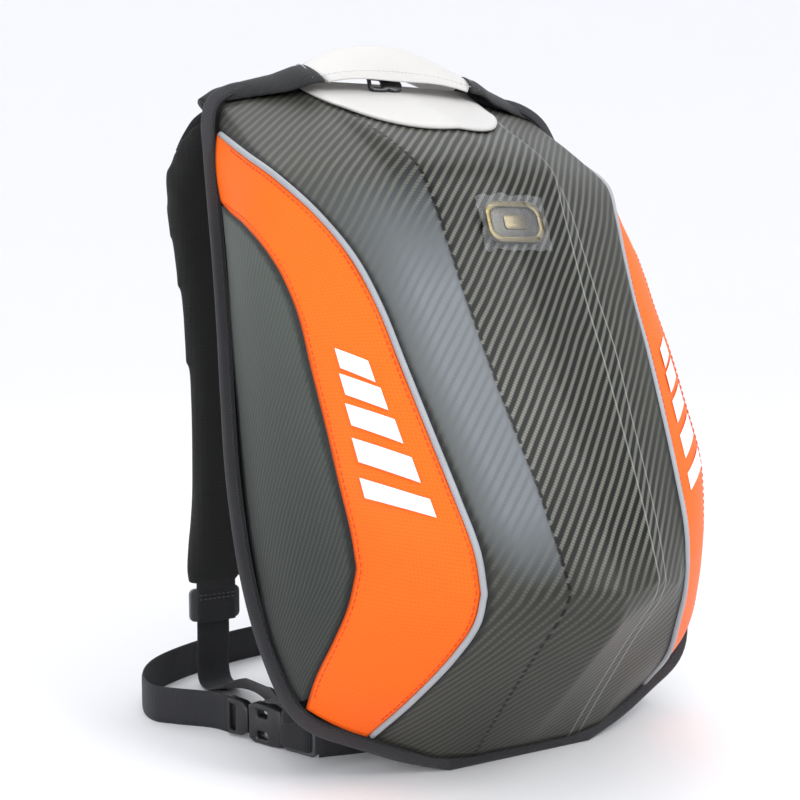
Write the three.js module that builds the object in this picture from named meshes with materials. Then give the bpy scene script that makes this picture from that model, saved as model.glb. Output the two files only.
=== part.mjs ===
import * as THREE from 'three';

// A hard shell backpack, in millimetres. The pack is modelled in its own frame, with x across, y towards the
// wearer, z up and y = 0 in the middle of the stitched edge tape. It is then leaned back on its lower edge,
// with the waist belt and the straps on the floor behind it, as it stands by itself.

// Size of the shell and of the walls
const BAG_WIDTH = 330;
const BAG_HEIGHT = 468;
const SHELL_DEPTH = 142;
const SHELL_WALL = 2.5;
const LEAN = THREE.MathUtils.degToRad(23.4);

// Clearance between neighbouring pieces
const GAP = 0.35;

// Edge tape, piping and the flat back
const TAPE_WIDTH = 9;
const TAPE_THICK = 4;
const PIPING_DIAMETER = 3.6;
const BACK_WALL = 3;
const BACK_PAD_THICK = 22;
const BACK_PAD_INSET = 22;

// White top patch and carry handle
const PATCH_THICK = 2;
const HANDLE_HALF_LENGTH = 66;
const HANDLE_WIDTH = 42;
const HANDLE_THICK = 5;
const HANDLE_RISE = 15;
const YOKE_REACH = 134;
const CLIP_LENGTH = 26;
const CLIP_HEIGHT = 13;
const CLIP_THICK = 4;

// Badge
const BADGE_WIDTH = 40;
const BADGE_HEIGHT = 25;
const BADGE_THICK = 2.4;
const FILM_MARGIN = 9;
const FILM_THICK = 0.6;

// Shoulder straps, webbing and waist belt
const PAD_WIDTH = 65;
const PAD_THICK = 12;
const WEBBING_WIDTH = 25;
const WEBBING_THICK = 1.8;
const TAB_WIDTH = 30;
const TAB_THICK = 3;
const LADDER_WIDTH = 38;
const LADDER_HEIGHT = 24;
const LADDER_THICK = 4;
const BUCKLE_LENGTH = 46;
const BUCKLE_THICK = 9;

const HALF_WIDTH = BAG_WIDTH / 2;
const TAPE_FRONT = -TAPE_THICK / 2;
const TAPE_BACK = TAPE_THICK / 2;

// Colours and finishes
function finish(color, roughness, metalness = 0) {
  return new THREE.MeshStandardMaterial({ color, roughness, metalness });
}
const CARBON = finish(0x2b2c2e, 0.35);
const ORANGE = finish(0xf2742b, 0.6);
const PIPING_GREY = finish(0xa9abad, 0.5);
const TAPE_BLACK = finish(0x3a3a3c, 0.85);
const WHITE_LEATHER = finish(0xe9e8e4, 0.5);
const BLACK_CLOTH = finish(0x1c1c1e, 0.9);
const BLACK_WEBBING = finish(0x161618, 0.8);
const BLACK_PLASTIC = finish(0x0c0c0d, 0.2);
const BADGE_METAL = finish(0xb08d5a, 0.3, 1);
const CLEAR_FILM = finish(0xdfe3e6, 0.15);

// Half sections of the shell from its lower edge to its upper one, each point as shares of
// [half width, depth in front of the tape, height]
// keel, ridge, lip, foot of the hump, piping, side seam, taped edge
const SECTIONS = [
  [[0, 0.021, 0.011], [0.218, 0.021, 0.011], [0.265, 0.021, 0.013], [0.376, 0.021, 0.019],
    [0.618, 0.021, 0.06], [0.842, 0.021, 0.109], [0.855, 0.021, 0.113]],
  [[0, 0.331, 0.049], [0.209, 0.338, 0.066], [0.255, 0.336, 0.069], [0.364, 0.331, 0.075],
    [0.564, 0.338, 0.092], [0.842, 0.169, 0.141], [0.885, 0.021, 0.135]],
  [[0, 0.62, 0.088], [0.2, 0.634, 0.115], [0.246, 0.621, 0.117], [0.355, 0.592, 0.122],
    [0.485, 0.577, 0.13], [0.806, 0.317, 0.179], [0.909, 0.021, 0.165]],
  [[0, 0.915, 0.13], [0.193, 0.88, 0.154], [0.239, 0.851, 0.154], [0.345, 0.782, 0.156],
    [0.442, 0.725, 0.162], [0.776, 0.423, 0.212], [0.93, 0.021, 0.199]],
  [[0, 0.993, 0.16], [0.188, 0.951, 0.173], [0.234, 0.921, 0.172], [0.342, 0.852, 0.171],
    [0.43, 0.796, 0.192], [0.758, 0.521, 0.252], [0.942, 0.021, 0.237]],
  [[0, 0.972, 0.214], [0.194, 0.951, 0.222], [0.252, 0.922, 0.225], [0.388, 0.856, 0.231],
    [0.442, 0.831, 0.239], [0.77, 0.556, 0.293], [0.945, 0.021, 0.28]],
  [[0, 0.944, 0.299], [0.209, 0.93, 0.303], [0.274, 0.901, 0.303], [0.424, 0.835, 0.303],
    [0.467, 0.817, 0.303], [0.788, 0.577, 0.346], [0.945, 0.021, 0.34]],
  [[0, 0.908, 0.385], [0.23, 0.887, 0.389], [0.3, 0.862, 0.39], [0.464, 0.803, 0.393],
    [0.503, 0.782, 0.395], [0.794, 0.563, 0.427], [0.93, 0.021, 0.427]],
  [[0, 0.866, 0.483], [0.248, 0.845, 0.483], [0.327, 0.822, 0.482], [0.509, 0.768, 0.481],
    [0.533, 0.746, 0.479], [0.8, 0.542, 0.504], [0.912, 0.021, 0.502]],
  [[0, 0.845, 0.56], [0.261, 0.81, 0.56], [0.327, 0.792, 0.56], [0.536, 0.732, 0.56],
    [0.558, 0.704, 0.56], [0.8, 0.514, 0.573], [0.897, 0.021, 0.568]],
  [[0, 0.831, 0.632], [0.273, 0.789, 0.632], [0.333, 0.761, 0.632], [0.576, 0.683, 0.632],
    [0.6, 0.655, 0.632], [0.818, 0.472, 0.632], [0.879, 0.021, 0.632]],
  [[0, 0.817, 0.697], [0.285, 0.768, 0.697], [0.352, 0.711, 0.697], [0.648, 0.599, 0.703],
    [0.673, 0.57, 0.705], [0.842, 0.408, 0.679], [0.861, 0.021, 0.688]],
  [[0, 0.789, 0.752], [0.303, 0.739, 0.752], [0.37, 0.634, 0.752], [0.733, 0.479, 0.771],
    [0.758, 0.451, 0.774], [0.855, 0.268, 0.733], [0.848, 0.021, 0.735]],
  [[0, 0.437, 0.88], [0.339, 0.408, 0.872], [0.388, 0.38, 0.861], [0.764, 0.303, 0.84],
    [0.794, 0.282, 0.831], [0.848, 0.141, 0.765], [0.841, 0.021, 0.769]],
  [[0, 0.021, 0.992], [0.364, 0.021, 0.99], [0.448, 0.021, 0.986], [0.758, 0.021, 0.951],
    [0.8, 0.021, 0.908], [0.836, 0.021, 0.799], [0.836, 0.021, 0.803]],
];
const TOP_ROW = SECTIONS.length - 1;
const BREAK_ROW = 4;
const [KEEL, RIDGE, LIP, FOOT, PIPING, SIDE_SEAM, EDGE] = [0, 1, 2, 3, 4, 5, 6];

// A seam runs through one point of each section, with a sharp break at the deepest row
function seamCurve(seam) {
  const points = SECTIONS.map((section) => {
    const [across, forward, up] = section[seam];
    return new THREE.Vector3(across * HALF_WIDTH, -forward * SHELL_DEPTH, up * BAG_HEIGHT);
  });
  const lower = new THREE.CatmullRomCurve3(points.slice(0, BREAK_ROW + 1));
  const upper = new THREE.CatmullRomCurve3(points.slice(BREAK_ROW));
  return (row) => {
    const held = THREE.MathUtils.clamp(row, 0, TOP_ROW);
    if (held <= BREAK_ROW) return lower.getPoint(held / BREAK_ROW);
    return upper.getPoint((held - BREAK_ROW) / (TOP_ROW - BREAK_ROW));
  };
}
const SEAMS = [KEEL, RIDGE, LIP, FOOT, PIPING, SIDE_SEAM, EDGE].map(seamCurve);

// Columns of the surface from the keel outwards: each lies on a seam, or a share of the way to the next one
// and crowned outwards by a share of the distance between the two
const SIDE_CROWN = 0.05;
const GUSSET_CROWN = 0.09;
const COLUMNS = [
  { seam: KEEL, share: 0, crown: 0 },
  { seam: KEEL, share: 0.5, crown: 0 },
  { seam: RIDGE, share: 0, crown: 0 },
  { seam: LIP, share: 0, crown: 0 },
  { seam: LIP, share: 0.5, crown: 0 },
  { seam: FOOT, share: 0, crown: 0 },
  { seam: PIPING, share: 0, crown: 0 },
  { seam: PIPING, share: 0.25, crown: SIDE_CROWN },
  { seam: PIPING, share: 0.5, crown: SIDE_CROWN },
  { seam: PIPING, share: 0.75, crown: SIDE_CROWN },
  { seam: SIDE_SEAM, share: 0, crown: 0 },
  { seam: SIDE_SEAM, share: 0.25, crown: GUSSET_CROWN },
  { seam: SIDE_SEAM, share: 0.5, crown: GUSSET_CROWN },
  { seam: SIDE_SEAM, share: 0.75, crown: GUSSET_CROWN },
  { seam: EDGE, share: 0, crown: 0 },
];
const LIP_COLUMN = 3;
const PIPING_COLUMN = 6;
const SEAM_COLUMN = 10;
const EDGE_COLUMN = 14;
const ROW_STEP = 0.5;
const SLOPE_STEP = 0.2;

function mirrored(point) {
  return new THREE.Vector3(-point.x, point.y, point.z);
}

function surfacePoint(row, column) {
  if (column < 0) return mirrored(surfacePoint(row, -column));
  const { seam, share, crown } = COLUMNS[column];
  const start = SEAMS[seam](row);
  if (share === 0) return start;
  const end = SEAMS[seam + 1](row);
  const across = end.clone().sub(start);
  const climb = SEAMS[seam](row + SLOPE_STEP).sub(SEAMS[seam](row - SLOPE_STEP));
  const outwards = across.clone().cross(climb).normalize();
  const bulge = crown * across.length() * 4 * share * (1 - share);
  return start.addScaledVector(across, share).addScaledVector(outwards, bulge);
}

function surfaceNormal(row, column) {
  if (column < 0) return mirrored(surfaceNormal(row, -column));
  const outer = surfacePoint(row, Math.min(column + 1, EDGE_COLUMN));
  const across = outer.sub(surfacePoint(row, column - 1));
  const climb = surfacePoint(row + SLOPE_STEP, column).sub(surfacePoint(row - SLOPE_STEP, column));
  return across.cross(climb).normalize();
}

// The wall's inner face, kept in front of the tape
function wallPoint(row, column) {
  const point = surfacePoint(row, column).addScaledVector(surfaceNormal(row, column), -SHELL_WALL);
  point.y = Math.min(point.y, TAPE_FRONT - GAP);
  return point;
}

// Closed meshes
function closedMesh(name, vertices, faces, material) {
  let volume = 0;
  for (const [a, b, c] of faces) {
    volume += vertices[a].dot(vertices[b].clone().cross(vertices[c]));
  }
  const positions = [];
  for (const [a, b, c] of faces) {
    const corners = volume > 0 ? [a, b, c] : [a, c, b];
    for (const corner of corners) positions.push(...vertices[corner].toArray());
  }
  const geometry = new THREE.BufferGeometry();
  geometry.setAttribute('position', new THREE.Float32BufferAttribute(positions, 3));
  geometry.computeVertexNormals();
  const mesh = new THREE.Mesh(geometry, material);
  mesh.name = name;
  return mesh;
}

// Two grids of points, one on each face of a wall, joined all round their borders
function wallSolid(name, outer, inner, material) {
  const rows = outer.length;
  const columns = outer[0].length;
  const vertices = [...outer.flat(), ...inner.flat()];
  const back = rows * columns;
  const at = (row, column) => row * columns + column;
  const faces = [];
  const quad = (a, b, c, d) => faces.push([a, b, c], [a, c, d]);
  for (let row = 0; row < rows - 1; row += 1) {
    for (let column = 0; column < columns - 1; column += 1) {
      const [a, b] = [at(row, column), at(row, column + 1)];
      const [c, d] = [at(row + 1, column + 1), at(row + 1, column)];
      quad(a, b, c, d);
      quad(back + a, back + d, back + c, back + b);
    }
  }
  for (let row = 0; row < rows - 1; row += 1) {
    const [a, b] = [at(row, 0), at(row + 1, 0)];
    const [c, d] = [at(row, columns - 1), at(row + 1, columns - 1)];
    quad(a, b, back + b, back + a);
    quad(c, back + c, back + d, d);
  }
  for (let column = 0; column < columns - 1; column += 1) {
    const [a, b] = [at(0, column), at(0, column + 1)];
    const [c, d] = [at(rows - 1, column), at(rows - 1, column + 1)];
    quad(a, back + a, back + b, b);
    quad(c, d, back + d, back + c);
  }
  return closedMesh(name, vertices, faces, material);
}

// Closed loops of equal length, joined one to the next. Either both ends are capped or the last loop joins
// the first one, which makes a ring.
function loftSolid(name, loops, material, ring = false) {
  const count = loops[0].length;
  const vertices = loops.flat();
  const faces = [];
  const last = ring ? loops.length : loops.length - 1;
  for (let loop = 0; loop < last; loop += 1) {
    const next = (loop + 1) % loops.length;
    for (let corner = 0; corner < count; corner += 1) {
      const beside = (corner + 1) % count;
      const [a, b] = [loop * count + corner, loop * count + beside];
      const [c, d] = [next * count + beside, next * count + corner];
      faces.push([a, b, c], [a, c, d]);
    }
  }
  if (!ring) {
    capEnd(vertices, faces, 0, count, true);
    capEnd(vertices, faces, (loops.length - 1) * count, count, false);
  }
  return closedMesh(name, vertices, faces, material);
}

// Closes an end with triangles from its middle to each side of the loop
function capEnd(vertices, faces, start, count, reversed) {
  const middle = new THREE.Vector3();
  for (let corner = 0; corner < count; corner += 1) middle.addScaledVector(vertices[start + corner], 1 / count);
  vertices.push(middle);
  const centre = vertices.length - 1;
  for (let corner = 0; corner < count; corner += 1) {
    const [a, b] = [start + corner, start + ((corner + 1) % count)];
    faces.push(reversed ? [centre, b, a] : [centre, a, b]);
  }
}

// A strip of rounded or square section along a path: stations hold the middle point, the direction of the
// width, the width and the thickness
function stripSolid(name, stations, material, corners = SQUARE) {
  const loops = stations.map(({ middle, side, width, thick }, index) => {
    const before = stations[Math.max(index - 1, 0)].middle;
    const after = stations[Math.min(index + 1, stations.length - 1)].middle;
    const along = after.clone().sub(before).normalize();
    const across = side.clone().addScaledVector(along, -side.dot(along)).normalize();
    const face = along.clone().cross(across);
    return corners.map(([w, t]) => middle.clone()
      .addScaledVector(across, (w * width) / 2).addScaledVector(face, (t * thick) / 2));
  });
  return loftSolid(name, loops, material);
}
const SQUARE = [[-1, -1], [1, -1], [1, 1], [-1, 1]];
const ROUNDED = [[-0.85, -1], [0.85, -1], [1, -0.4], [1, 0.4], [0.85, 1], [-0.85, 1], [-1, 0.4], [-1, -0.4]];

// Stations at equal steps of a smooth curve through [x, y, z] points
function stationsAlong(points, count, side, width, thick) {
  const curve = new THREE.CatmullRomCurve3(points.map((point) => new THREE.Vector3(...point)));
  return curve.getSpacedPoints(count).map((middle) => ({ middle, side, width, thick }));
}

// One row for each ROW_STEP, from one row value to another
function rowsBetween(first, last) {
  const rows = [first];
  for (let row = (Math.floor(first / ROW_STEP) + 1) * ROW_STEP; row < last; row += ROW_STEP) rows.push(row);
  rows.push(last);
  return rows;
}

// A point pulled from its seam towards the neighbouring column
function trimmed(point, neighbour, distance) {
  return point.addScaledVector(neighbour.sub(point).normalize(), distance);
}

// A panel of the shell between two columns, cut back from its seams
function shellPanel(name, firstColumn, lastColumn, firstRow, lastRow, cuts, material) {
  const faces = [surfacePoint, wallPoint].map((face) => rowsBetween(firstRow, lastRow).map((row) => {
    const line = [];
    for (let column = firstColumn; column <= lastColumn; column += 1) {
      let point = face(row, column);
      if (column === firstColumn) point = trimmed(point, face(row, column + 1), cuts[0]);
      if (column === lastColumn) point = trimmed(point, face(row, column - 1), cuts[1]);
      line.push(point);
    }
    return line;
  }));
  return wallSolid(name, faces[0], faces[1], material);
}

const pack = new THREE.Group();
const leaned = new THREE.Group();
leaned.rotation.x = -LEAN;
pack.add(leaned);

// Shell panels
const PIPING_CUT = PIPING_DIAMETER / 2 + 2 * GAP;
const SEAM_CUT = GAP / 2;
const GUSSET_ROWS = [0.3, TOP_ROW - 0.3];
leaned.add(shellPanel('shell_centre', -PIPING_COLUMN, PIPING_COLUMN, 0, TOP_ROW,
  [PIPING_CUT, PIPING_CUT], CARBON));
leaned.add(shellPanel('side_panel_right', PIPING_COLUMN, SEAM_COLUMN, 0, TOP_ROW,
  [PIPING_CUT, SEAM_CUT], ORANGE));
leaned.add(shellPanel('side_panel_left', -SEAM_COLUMN, -PIPING_COLUMN, 0, TOP_ROW,
  [SEAM_CUT, PIPING_CUT], ORANGE));
leaned.add(shellPanel('side_gusset_right', SEAM_COLUMN, EDGE_COLUMN, ...GUSSET_ROWS,
  [SEAM_CUT, 0], CARBON));
leaned.add(shellPanel('side_gusset_left', -EDGE_COLUMN, -SEAM_COLUMN, ...GUSSET_ROWS,
  [0, SEAM_CUT], CARBON));

// Piping between the centre and the side panels
const PIPING_ROWS = [0.06, TOP_ROW - 0.12];
const PIPING_STEPS = 44;
const PIPING_SIDES = 6;
function piping(name, side) {
  const points = rowsBetween(...PIPING_ROWS).map((row) => surfacePoint(row, side * PIPING_COLUMN));
  const shape = new THREE.Shape();
  for (let corner = 0; corner < PIPING_SIDES; corner += 1) {
    const angle = (corner / PIPING_SIDES) * Math.PI * 2;
    const [x, y] = [Math.cos(angle) * PIPING_DIAMETER / 2, Math.sin(angle) * PIPING_DIAMETER / 2];
    if (corner === 0) shape.moveTo(x, y);
    else shape.lineTo(x, y);
  }
  const geometry = new THREE.ExtrudeGeometry(shape, {
    steps: PIPING_STEPS,
    extrudePath: new THREE.CatmullRomCurve3(points),
  });
  const mesh = new THREE.Mesh(geometry, PIPING_GREY);
  mesh.name = name;
  return mesh;
}
leaned.add(piping('piping_left', -1), piping('piping_right', 1));

// Outline of the edge tape: right half from the floor up, as shares of [half width, height]
const TAPE_OUTLINE = [
  [0.315, 0], [0.5, 0.022], [0.667, 0.049], [0.824, 0.077], [0.891, 0.1], [0.93, 0.128], [0.976, 0.197],
  [1, 0.28], [0.994, 0.406], [0.964, 0.517], [0.933, 0.615], [0.909, 0.701], [0.885, 0.806],
  [0.867, 0.882], [0.852, 0.93], [0.81, 0.965], [0.7, 0.99], [0.45, 1],
];
const OUTLINE_STEPS = 34;

// The outline pulled in by a distance and set at a depth
function outlineLoop(inset, y) {
  const half = new THREE.SplineCurve(TAPE_OUTLINE.map(
    ([x, z]) => new THREE.Vector2(x * HALF_WIDTH, z * BAG_HEIGHT),
  )).getPoints(OUTLINE_STEPS);
  const loop = [...half, ...half.map((point) => new THREE.Vector2(-point.x, point.y)).reverse()];
  return loop.map((point, index) => {
    const before = loop[(index + loop.length - 1) % loop.length];
    const after = loop[(index + 1) % loop.length];
    const along = after.clone().sub(before).normalize();
    return new THREE.Vector3(point.x - along.y * inset, y, point.y + along.x * inset);
  });
}

// The tape's lower edge is cut level, so that it stands flat on the floor
function levelledLoop(inset, y) {
  const loop = outlineLoop(inset, y);
  loop[0].z = y * Math.tan(LEAN);
  loop[0].x = loop[0].x < 0 ? -TAPE_OUTLINE[0][0] * HALF_WIDTH : TAPE_OUTLINE[0][0] * HALF_WIDTH;
  loop[loop.length - 1].z = loop[0].z;
  loop[loop.length - 1].x = -loop[0].x;
  return loop;
}
leaned.add(loftSolid('edge_binding', [
  levelledLoop(0, TAPE_FRONT), levelledLoop(0, TAPE_BACK),
  outlineLoop(TAPE_WIDTH, TAPE_BACK), outlineLoop(TAPE_WIDTH, TAPE_FRONT),
], TAPE_BLACK, true));

// Flat back and its pad
const BACK_WALL_FRONT = TAPE_BACK + GAP;
const BACK_WALL_REAR = BACK_WALL_FRONT + BACK_WALL;
const BACK_WALL_INSET = 3;
leaned.add(loftSolid('back_wall', [
  outlineLoop(BACK_WALL_INSET, BACK_WALL_FRONT), outlineLoop(BACK_WALL_INSET, BACK_WALL_REAR),
], BLACK_CLOTH));

// Pad sections as shares of its thickness and as added inset
const PAD_FRONT = BACK_WALL_REAR + GAP;
const PAD_REAR = PAD_FRONT + BACK_PAD_THICK;
const BACK_PAD_LAYERS = [[0, 3], [0.15, 0], [0.7, 0], [0.9, 4], [1, 12]];
leaned.add(loftSolid('back_pad', BACK_PAD_LAYERS.map(([share, inset]) => outlineLoop(
  BACK_PAD_INSET + inset, PAD_FRONT + share * BACK_PAD_THICK)), BLACK_CLOTH));

// White patch on the top of the shell: lowest row of each column, from the keel to the lip
const PATCH_ROWS = [13.5, 13.5, 13.56, 13.76];
const PATCH_STEPS = 4;
function topPatch() {
  const grid = (lift) => {
    const lines = [];
    for (let step = 0; step <= PATCH_STEPS; step += 1) {
      const line = [];
      for (let column = -LIP_COLUMN; column <= LIP_COLUMN; column += 1) {
        const first = PATCH_ROWS[Math.abs(column)];
        const row = first + ((TOP_ROW - first) * step) / PATCH_STEPS;
        line.push(surfacePoint(row, column).addScaledVector(surfaceNormal(row, column), lift));
      }
      lines.push(line);
    }
    return lines;
  };
  return wallSolid('top_patch', grid(2 * GAP + PATCH_THICK), grid(2 * GAP), WHITE_LEATHER);
}
leaned.add(topPatch());

// Carry handle: a flat band that arches over the top edge, with a black yoke at each end
const ALONG_Y = new THREE.Vector3(0, 1, 0);
const ALONG_Z = new THREE.Vector3(0, 0, 1);
const HANDLE_MIDDLE_Y = -4.5;
const HANDLE_FOOT = BAG_HEIGHT + GAP + HANDLE_THICK / 2;
const HANDLE_STEPS = 12;
function handleHeight(x) {
  const share = x / HANDLE_HALF_LENGTH;
  return HANDLE_FOOT + 8 + HANDLE_RISE * (1 - share * share);
}
const handleStations = [];
for (let step = 0; step <= HANDLE_STEPS; step += 1) {
  const x = -HANDLE_HALF_LENGTH + (2 * HANDLE_HALF_LENGTH * step) / HANDLE_STEPS;
  handleStations.push({
    middle: new THREE.Vector3(x, HANDLE_MIDDLE_Y, handleHeight(x)),
    side: ALONG_Y,
    width: HANDLE_WIDTH,
    thick: HANDLE_THICK,
  });
}
leaned.add(stripSolid('carry_handle', handleStations, WHITE_LEATHER, ROUNDED));

// Yoke sections: share of the way to the yoke's end, share of the handle's drop, middle y and width
const YOKE_ROWS = [
  [0, 0, HANDLE_MIDDLE_Y, 1], [0.1, 0.25, HANDLE_MIDDLE_Y, 0.97], [0.3, 0.8, -1, 0.7], [0.6, 1.25, 4, 0.42], [0.85, 1.75, 8, 0.3], [1, 2.6, 10, 0.26],
];
const YOKE_DROP = 8;
function yoke(name, side) {
  const start = HANDLE_HALF_LENGTH + HANDLE_THICK * 0.15;
  const stations = YOKE_ROWS.map(([share, drop, y, width]) => ({
    middle: new THREE.Vector3(side * (start + share * (YOKE_REACH - start)), y, handleHeight(start) - drop * YOKE_DROP),
    side: ALONG_Y,
    width: width * HANDLE_WIDTH,
    thick: HANDLE_THICK,
  }));
  return stripSolid(name, stations, BLACK_CLOTH, ROUNDED);
}
leaned.add(yoke('yoke_left', -1), yoke('yoke_right', 1));

// Hook shaped clip under the handle, cut from a plate
function plateSolid(name, outline, holes, thick, material) {
  const shape = new THREE.Shape(outline.map(([x, y]) => new THREE.Vector2(x, y)));
  holes.forEach((hole) => shape.holes.push(new THREE.Path(hole.map(([x, y]) => new THREE.Vector2(x, y)))));
  const mesh = new THREE.Mesh(new THREE.ExtrudeGeometry(shape, { depth: thick, bevelEnabled: false }), material);
  mesh.name = name;
  mesh.rotation.x = Math.PI / 2;
  return mesh;
}
const CLIP_OUTLINE = [[-0.5, 0.5], [-0.5, -0.3], [-0.4, -0.5], [0.2, -0.5], [0.45, -0.35], [0.5, 0], [0.42, 0.4], [0.3, 0.5]];
const CLIP_SLOT = [[-0.42, 0.28], [-0.1, 0.28], [-0.1, -0.25], [-0.42, -0.25]];
const sized = (points, width, height) => points.map(([x, y]) => [x * width, y * height]);
const clip = plateSolid('handle_clip', sized(CLIP_OUTLINE, CLIP_LENGTH, CLIP_HEIGHT),
  [sized(CLIP_SLOT, CLIP_LENGTH, CLIP_HEIGHT)], CLIP_THICK, BLACK_PLASTIC);
const CLIP_X = -8;
clip.position.set(CLIP_X, HANDLE_MIDDLE_Y + CLIP_THICK / 2,
  handleHeight(CLIP_X - CLIP_LENGTH / 2) - HANDLE_THICK / 2 - GAP - CLIP_HEIGHT / 2);
leaned.add(clip);

// Badge plate and the clear film on it
const BADGE_ROW = 10.4;
const BADGE_CORNER = 0.12;
function chamferedPlate(width, height, corner) {
  const [x, z, c] = [width / 2, height / 2, corner * height];
  return [[-x + c, -z], [x - c, -z], [x, -z + c], [x, z - c], [x - c, z], [-x + c, z], [-x, z - c], [-x, -z + c]];
}
const badgeSeat = surfacePoint(BADGE_ROW, 0);
const badge = plateSolid('badge_plate', chamferedPlate(BADGE_WIDTH, BADGE_HEIGHT, BADGE_CORNER), [],
  BADGE_THICK, BADGE_METAL);
badge.position.set(0, badgeSeat.y - GAP - 0.6, badgeSeat.z);
const film = plateSolid('badge_film', chamferedPlate(BADGE_WIDTH + 2 * FILM_MARGIN, BADGE_HEIGHT + 2 * FILM_MARGIN,
  BADGE_CORNER), [], FILM_THICK, CLEAR_FILM);
film.position.set(0, badge.position.y - BADGE_THICK - GAP, badgeSeat.z);
leaned.add(badge, film);

// The straps hang and lie in the room's frame, with y = 0 and z = 0 on the lower edge of the tape.
// Shoulder pad: rows of middle [x, y, z] and width share, on the left
const STRAP_Y = 222;
const PAD_ROWS = [
  [-112, 200, 405, 0.8], [-120, 210, 385, 0.95], [-122, 216, 360, 1], [-120, 220, 330, 1], [-113, STRAP_Y, 280, 1],
  [-108, STRAP_Y, 220, 1], [-107, STRAP_Y, 170, 1], [-108, STRAP_Y, 120, 1],
  [-113, STRAP_Y, 96, 0.9],
  [-117, STRAP_Y, 82, 0.75], [-117, STRAP_Y, 74, 0.6],
];
const ACROSS = new THREE.Vector3(1, 0, 0);
const PAD_END = PAD_ROWS[PAD_ROWS.length - 1];
function flipped(points, side) {
  return points.map(([x, ...rest]) => [-side * x, ...rest]);
}
function shoulderPad(name, side) {
  const stations = flipped(PAD_ROWS, side).map(([x, y, z, share]) => ({
    middle: new THREE.Vector3(x, y, z),
    side: ACROSS,
    width: share * PAD_WIDTH,
    thick: PAD_THICK,
  }));
  return stripSolid(name, stations, BLACK_CLOTH, ROUNDED);
}

// Stitched tab under the pad, the ladder buckle on it, and the webbing that runs down to the floor, folds and
// comes back up to the lower corner of the back
const TAB_LENGTH = 26;
const TAB_TOP = PAD_END[2] - GAP - 0.4;
function padTab(name, side) {
  const points = flipped([[PAD_END[0], STRAP_Y, TAB_TOP], [PAD_END[0], STRAP_Y, TAB_TOP - TAB_LENGTH]], side);
  return stripSolid(name, stationsAlong(points, 2, ACROSS, TAB_WIDTH, TAB_THICK), BLACK_WEBBING);
}
const LADDER_Z = TAB_TOP - TAB_LENGTH + LADDER_HEIGHT / 2;
const LADDER_Y = STRAP_Y + TAB_THICK / 2 + GAP + LADDER_THICK / 2;
function rectangle(width, height, z = 0) {
  return [[-width / 2, z - height / 2], [width / 2, z - height / 2], [width / 2, z + height / 2], [-width / 2, z + height / 2]];
}
function ladderBuckle(name, side) {
  const slot = LADDER_HEIGHT * 0.26;
  const mesh = plateSolid(name, chamferedPlate(LADDER_WIDTH, LADDER_HEIGHT, 0.15), [
    rectangle(WEBBING_WIDTH + 2, slot, LADDER_HEIGHT * 0.22),
    rectangle(WEBBING_WIDTH, slot * 0.88, -LADDER_HEIGHT * 0.22),
  ], LADDER_THICK, BLACK_PLASTIC);
  mesh.position.set(-side * PAD_END[0], LADDER_Y + LADDER_THICK / 2, LADDER_Z);
  return mesh;
}
const WEBBING_TOP_Y = LADDER_Y + LADDER_THICK / 2 + GAP + WEBBING_THICK / 2;
const LOWER_WEBBING = [
  [-117, WEBBING_TOP_Y, 62], [-117, WEBBING_TOP_Y, 34], [-118, WEBBING_TOP_Y - 1, 12], [-118.5, WEBBING_TOP_Y - 7, 3.2],
  [-119, 208, 2.4], [-121, 190, 8], [-127, 130, 24.5], [-134, 66, 37], [-138, 50.5, 41.5],
];
const WEBBING_STEPS = 22;
function lowerWebbing(name, side) {
  return stripSolid(name, stationsAlong(flipped(LOWER_WEBBING, side), WEBBING_STEPS, ACROSS,
    WEBBING_WIDTH, WEBBING_THICK), BLACK_WEBBING);
}
for (const [word, side] of [['left', -1], ['right', 1]]) {
  pack.add(shoulderPad(`shoulder_pad_${word}`, side), padTab(`pad_tab_${word}`, side));
  pack.add(ladderBuckle(`strap_buckle_${word}`, side), lowerWebbing(`lower_webbing_${word}`, side));
}

// Hard fittings of the belt: a slider, then the two halves of the side release buckle, each a plate that
// stands on the floor and is turned to the belt's direction
function standingPlate(name, centre, heading, length, height, thick, holes) {
  const mesh = plateSolid(name, chamferedPlate(length, height, 0.12), holes, thick, BLACK_PLASTIC);
  const holder = new THREE.Group();
  holder.position.set(centre[0], centre[1], height / 2);
  holder.rotation.z = heading;
  mesh.position.y = thick / 2;
  holder.add(mesh);
  return holder;
}
// The belt's front run, as [x, y] on the floor
const FRONT_BELT = [[127, 62], [90, 51], [45, 44], [0, 42.6], [-45, 44], [-90, 51], [-113, 56]];
const FITTING_HEIGHT = WEBBING_WIDTH + 1;
const BELT_HEADING = THREE.MathUtils.degToRad(115.8);
const SLIDER_LENGTH = 26;
const SLIDER_THICK = 5;
const SOCKET_LENGTH = BUCKLE_LENGTH * 0.6;
const PLUG_LENGTH = BUCKLE_LENGTH * 0.4 - GAP;
const sliderSlots = [[-0.22, 0.26, 0.8], [0.22, 0.23, 0.72]].map(([share, width, height]) => (
  rectangle(SLIDER_LENGTH * width, WEBBING_WIDTH * height).map(([x, z]) => [x + share * SLIDER_LENGTH, z])
));
const beltStart = new THREE.Vector2(...FRONT_BELT[FRONT_BELT.length - 1]);
const beltStep = new THREE.Vector2(Math.cos(BELT_HEADING), Math.sin(BELT_HEADING));
function beltPlace(distance) {
  return beltStart.clone().addScaledVector(beltStep, distance).toArray();
}
const SLIDER_START = SLIDER_THICK * 0.24;
const SOCKET_START = SLIDER_START + SLIDER_LENGTH + GAP;
const PLUG_START = SOCKET_START + SOCKET_LENGTH + GAP;
const PLUG_END = PLUG_START + PLUG_LENGTH;
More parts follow.
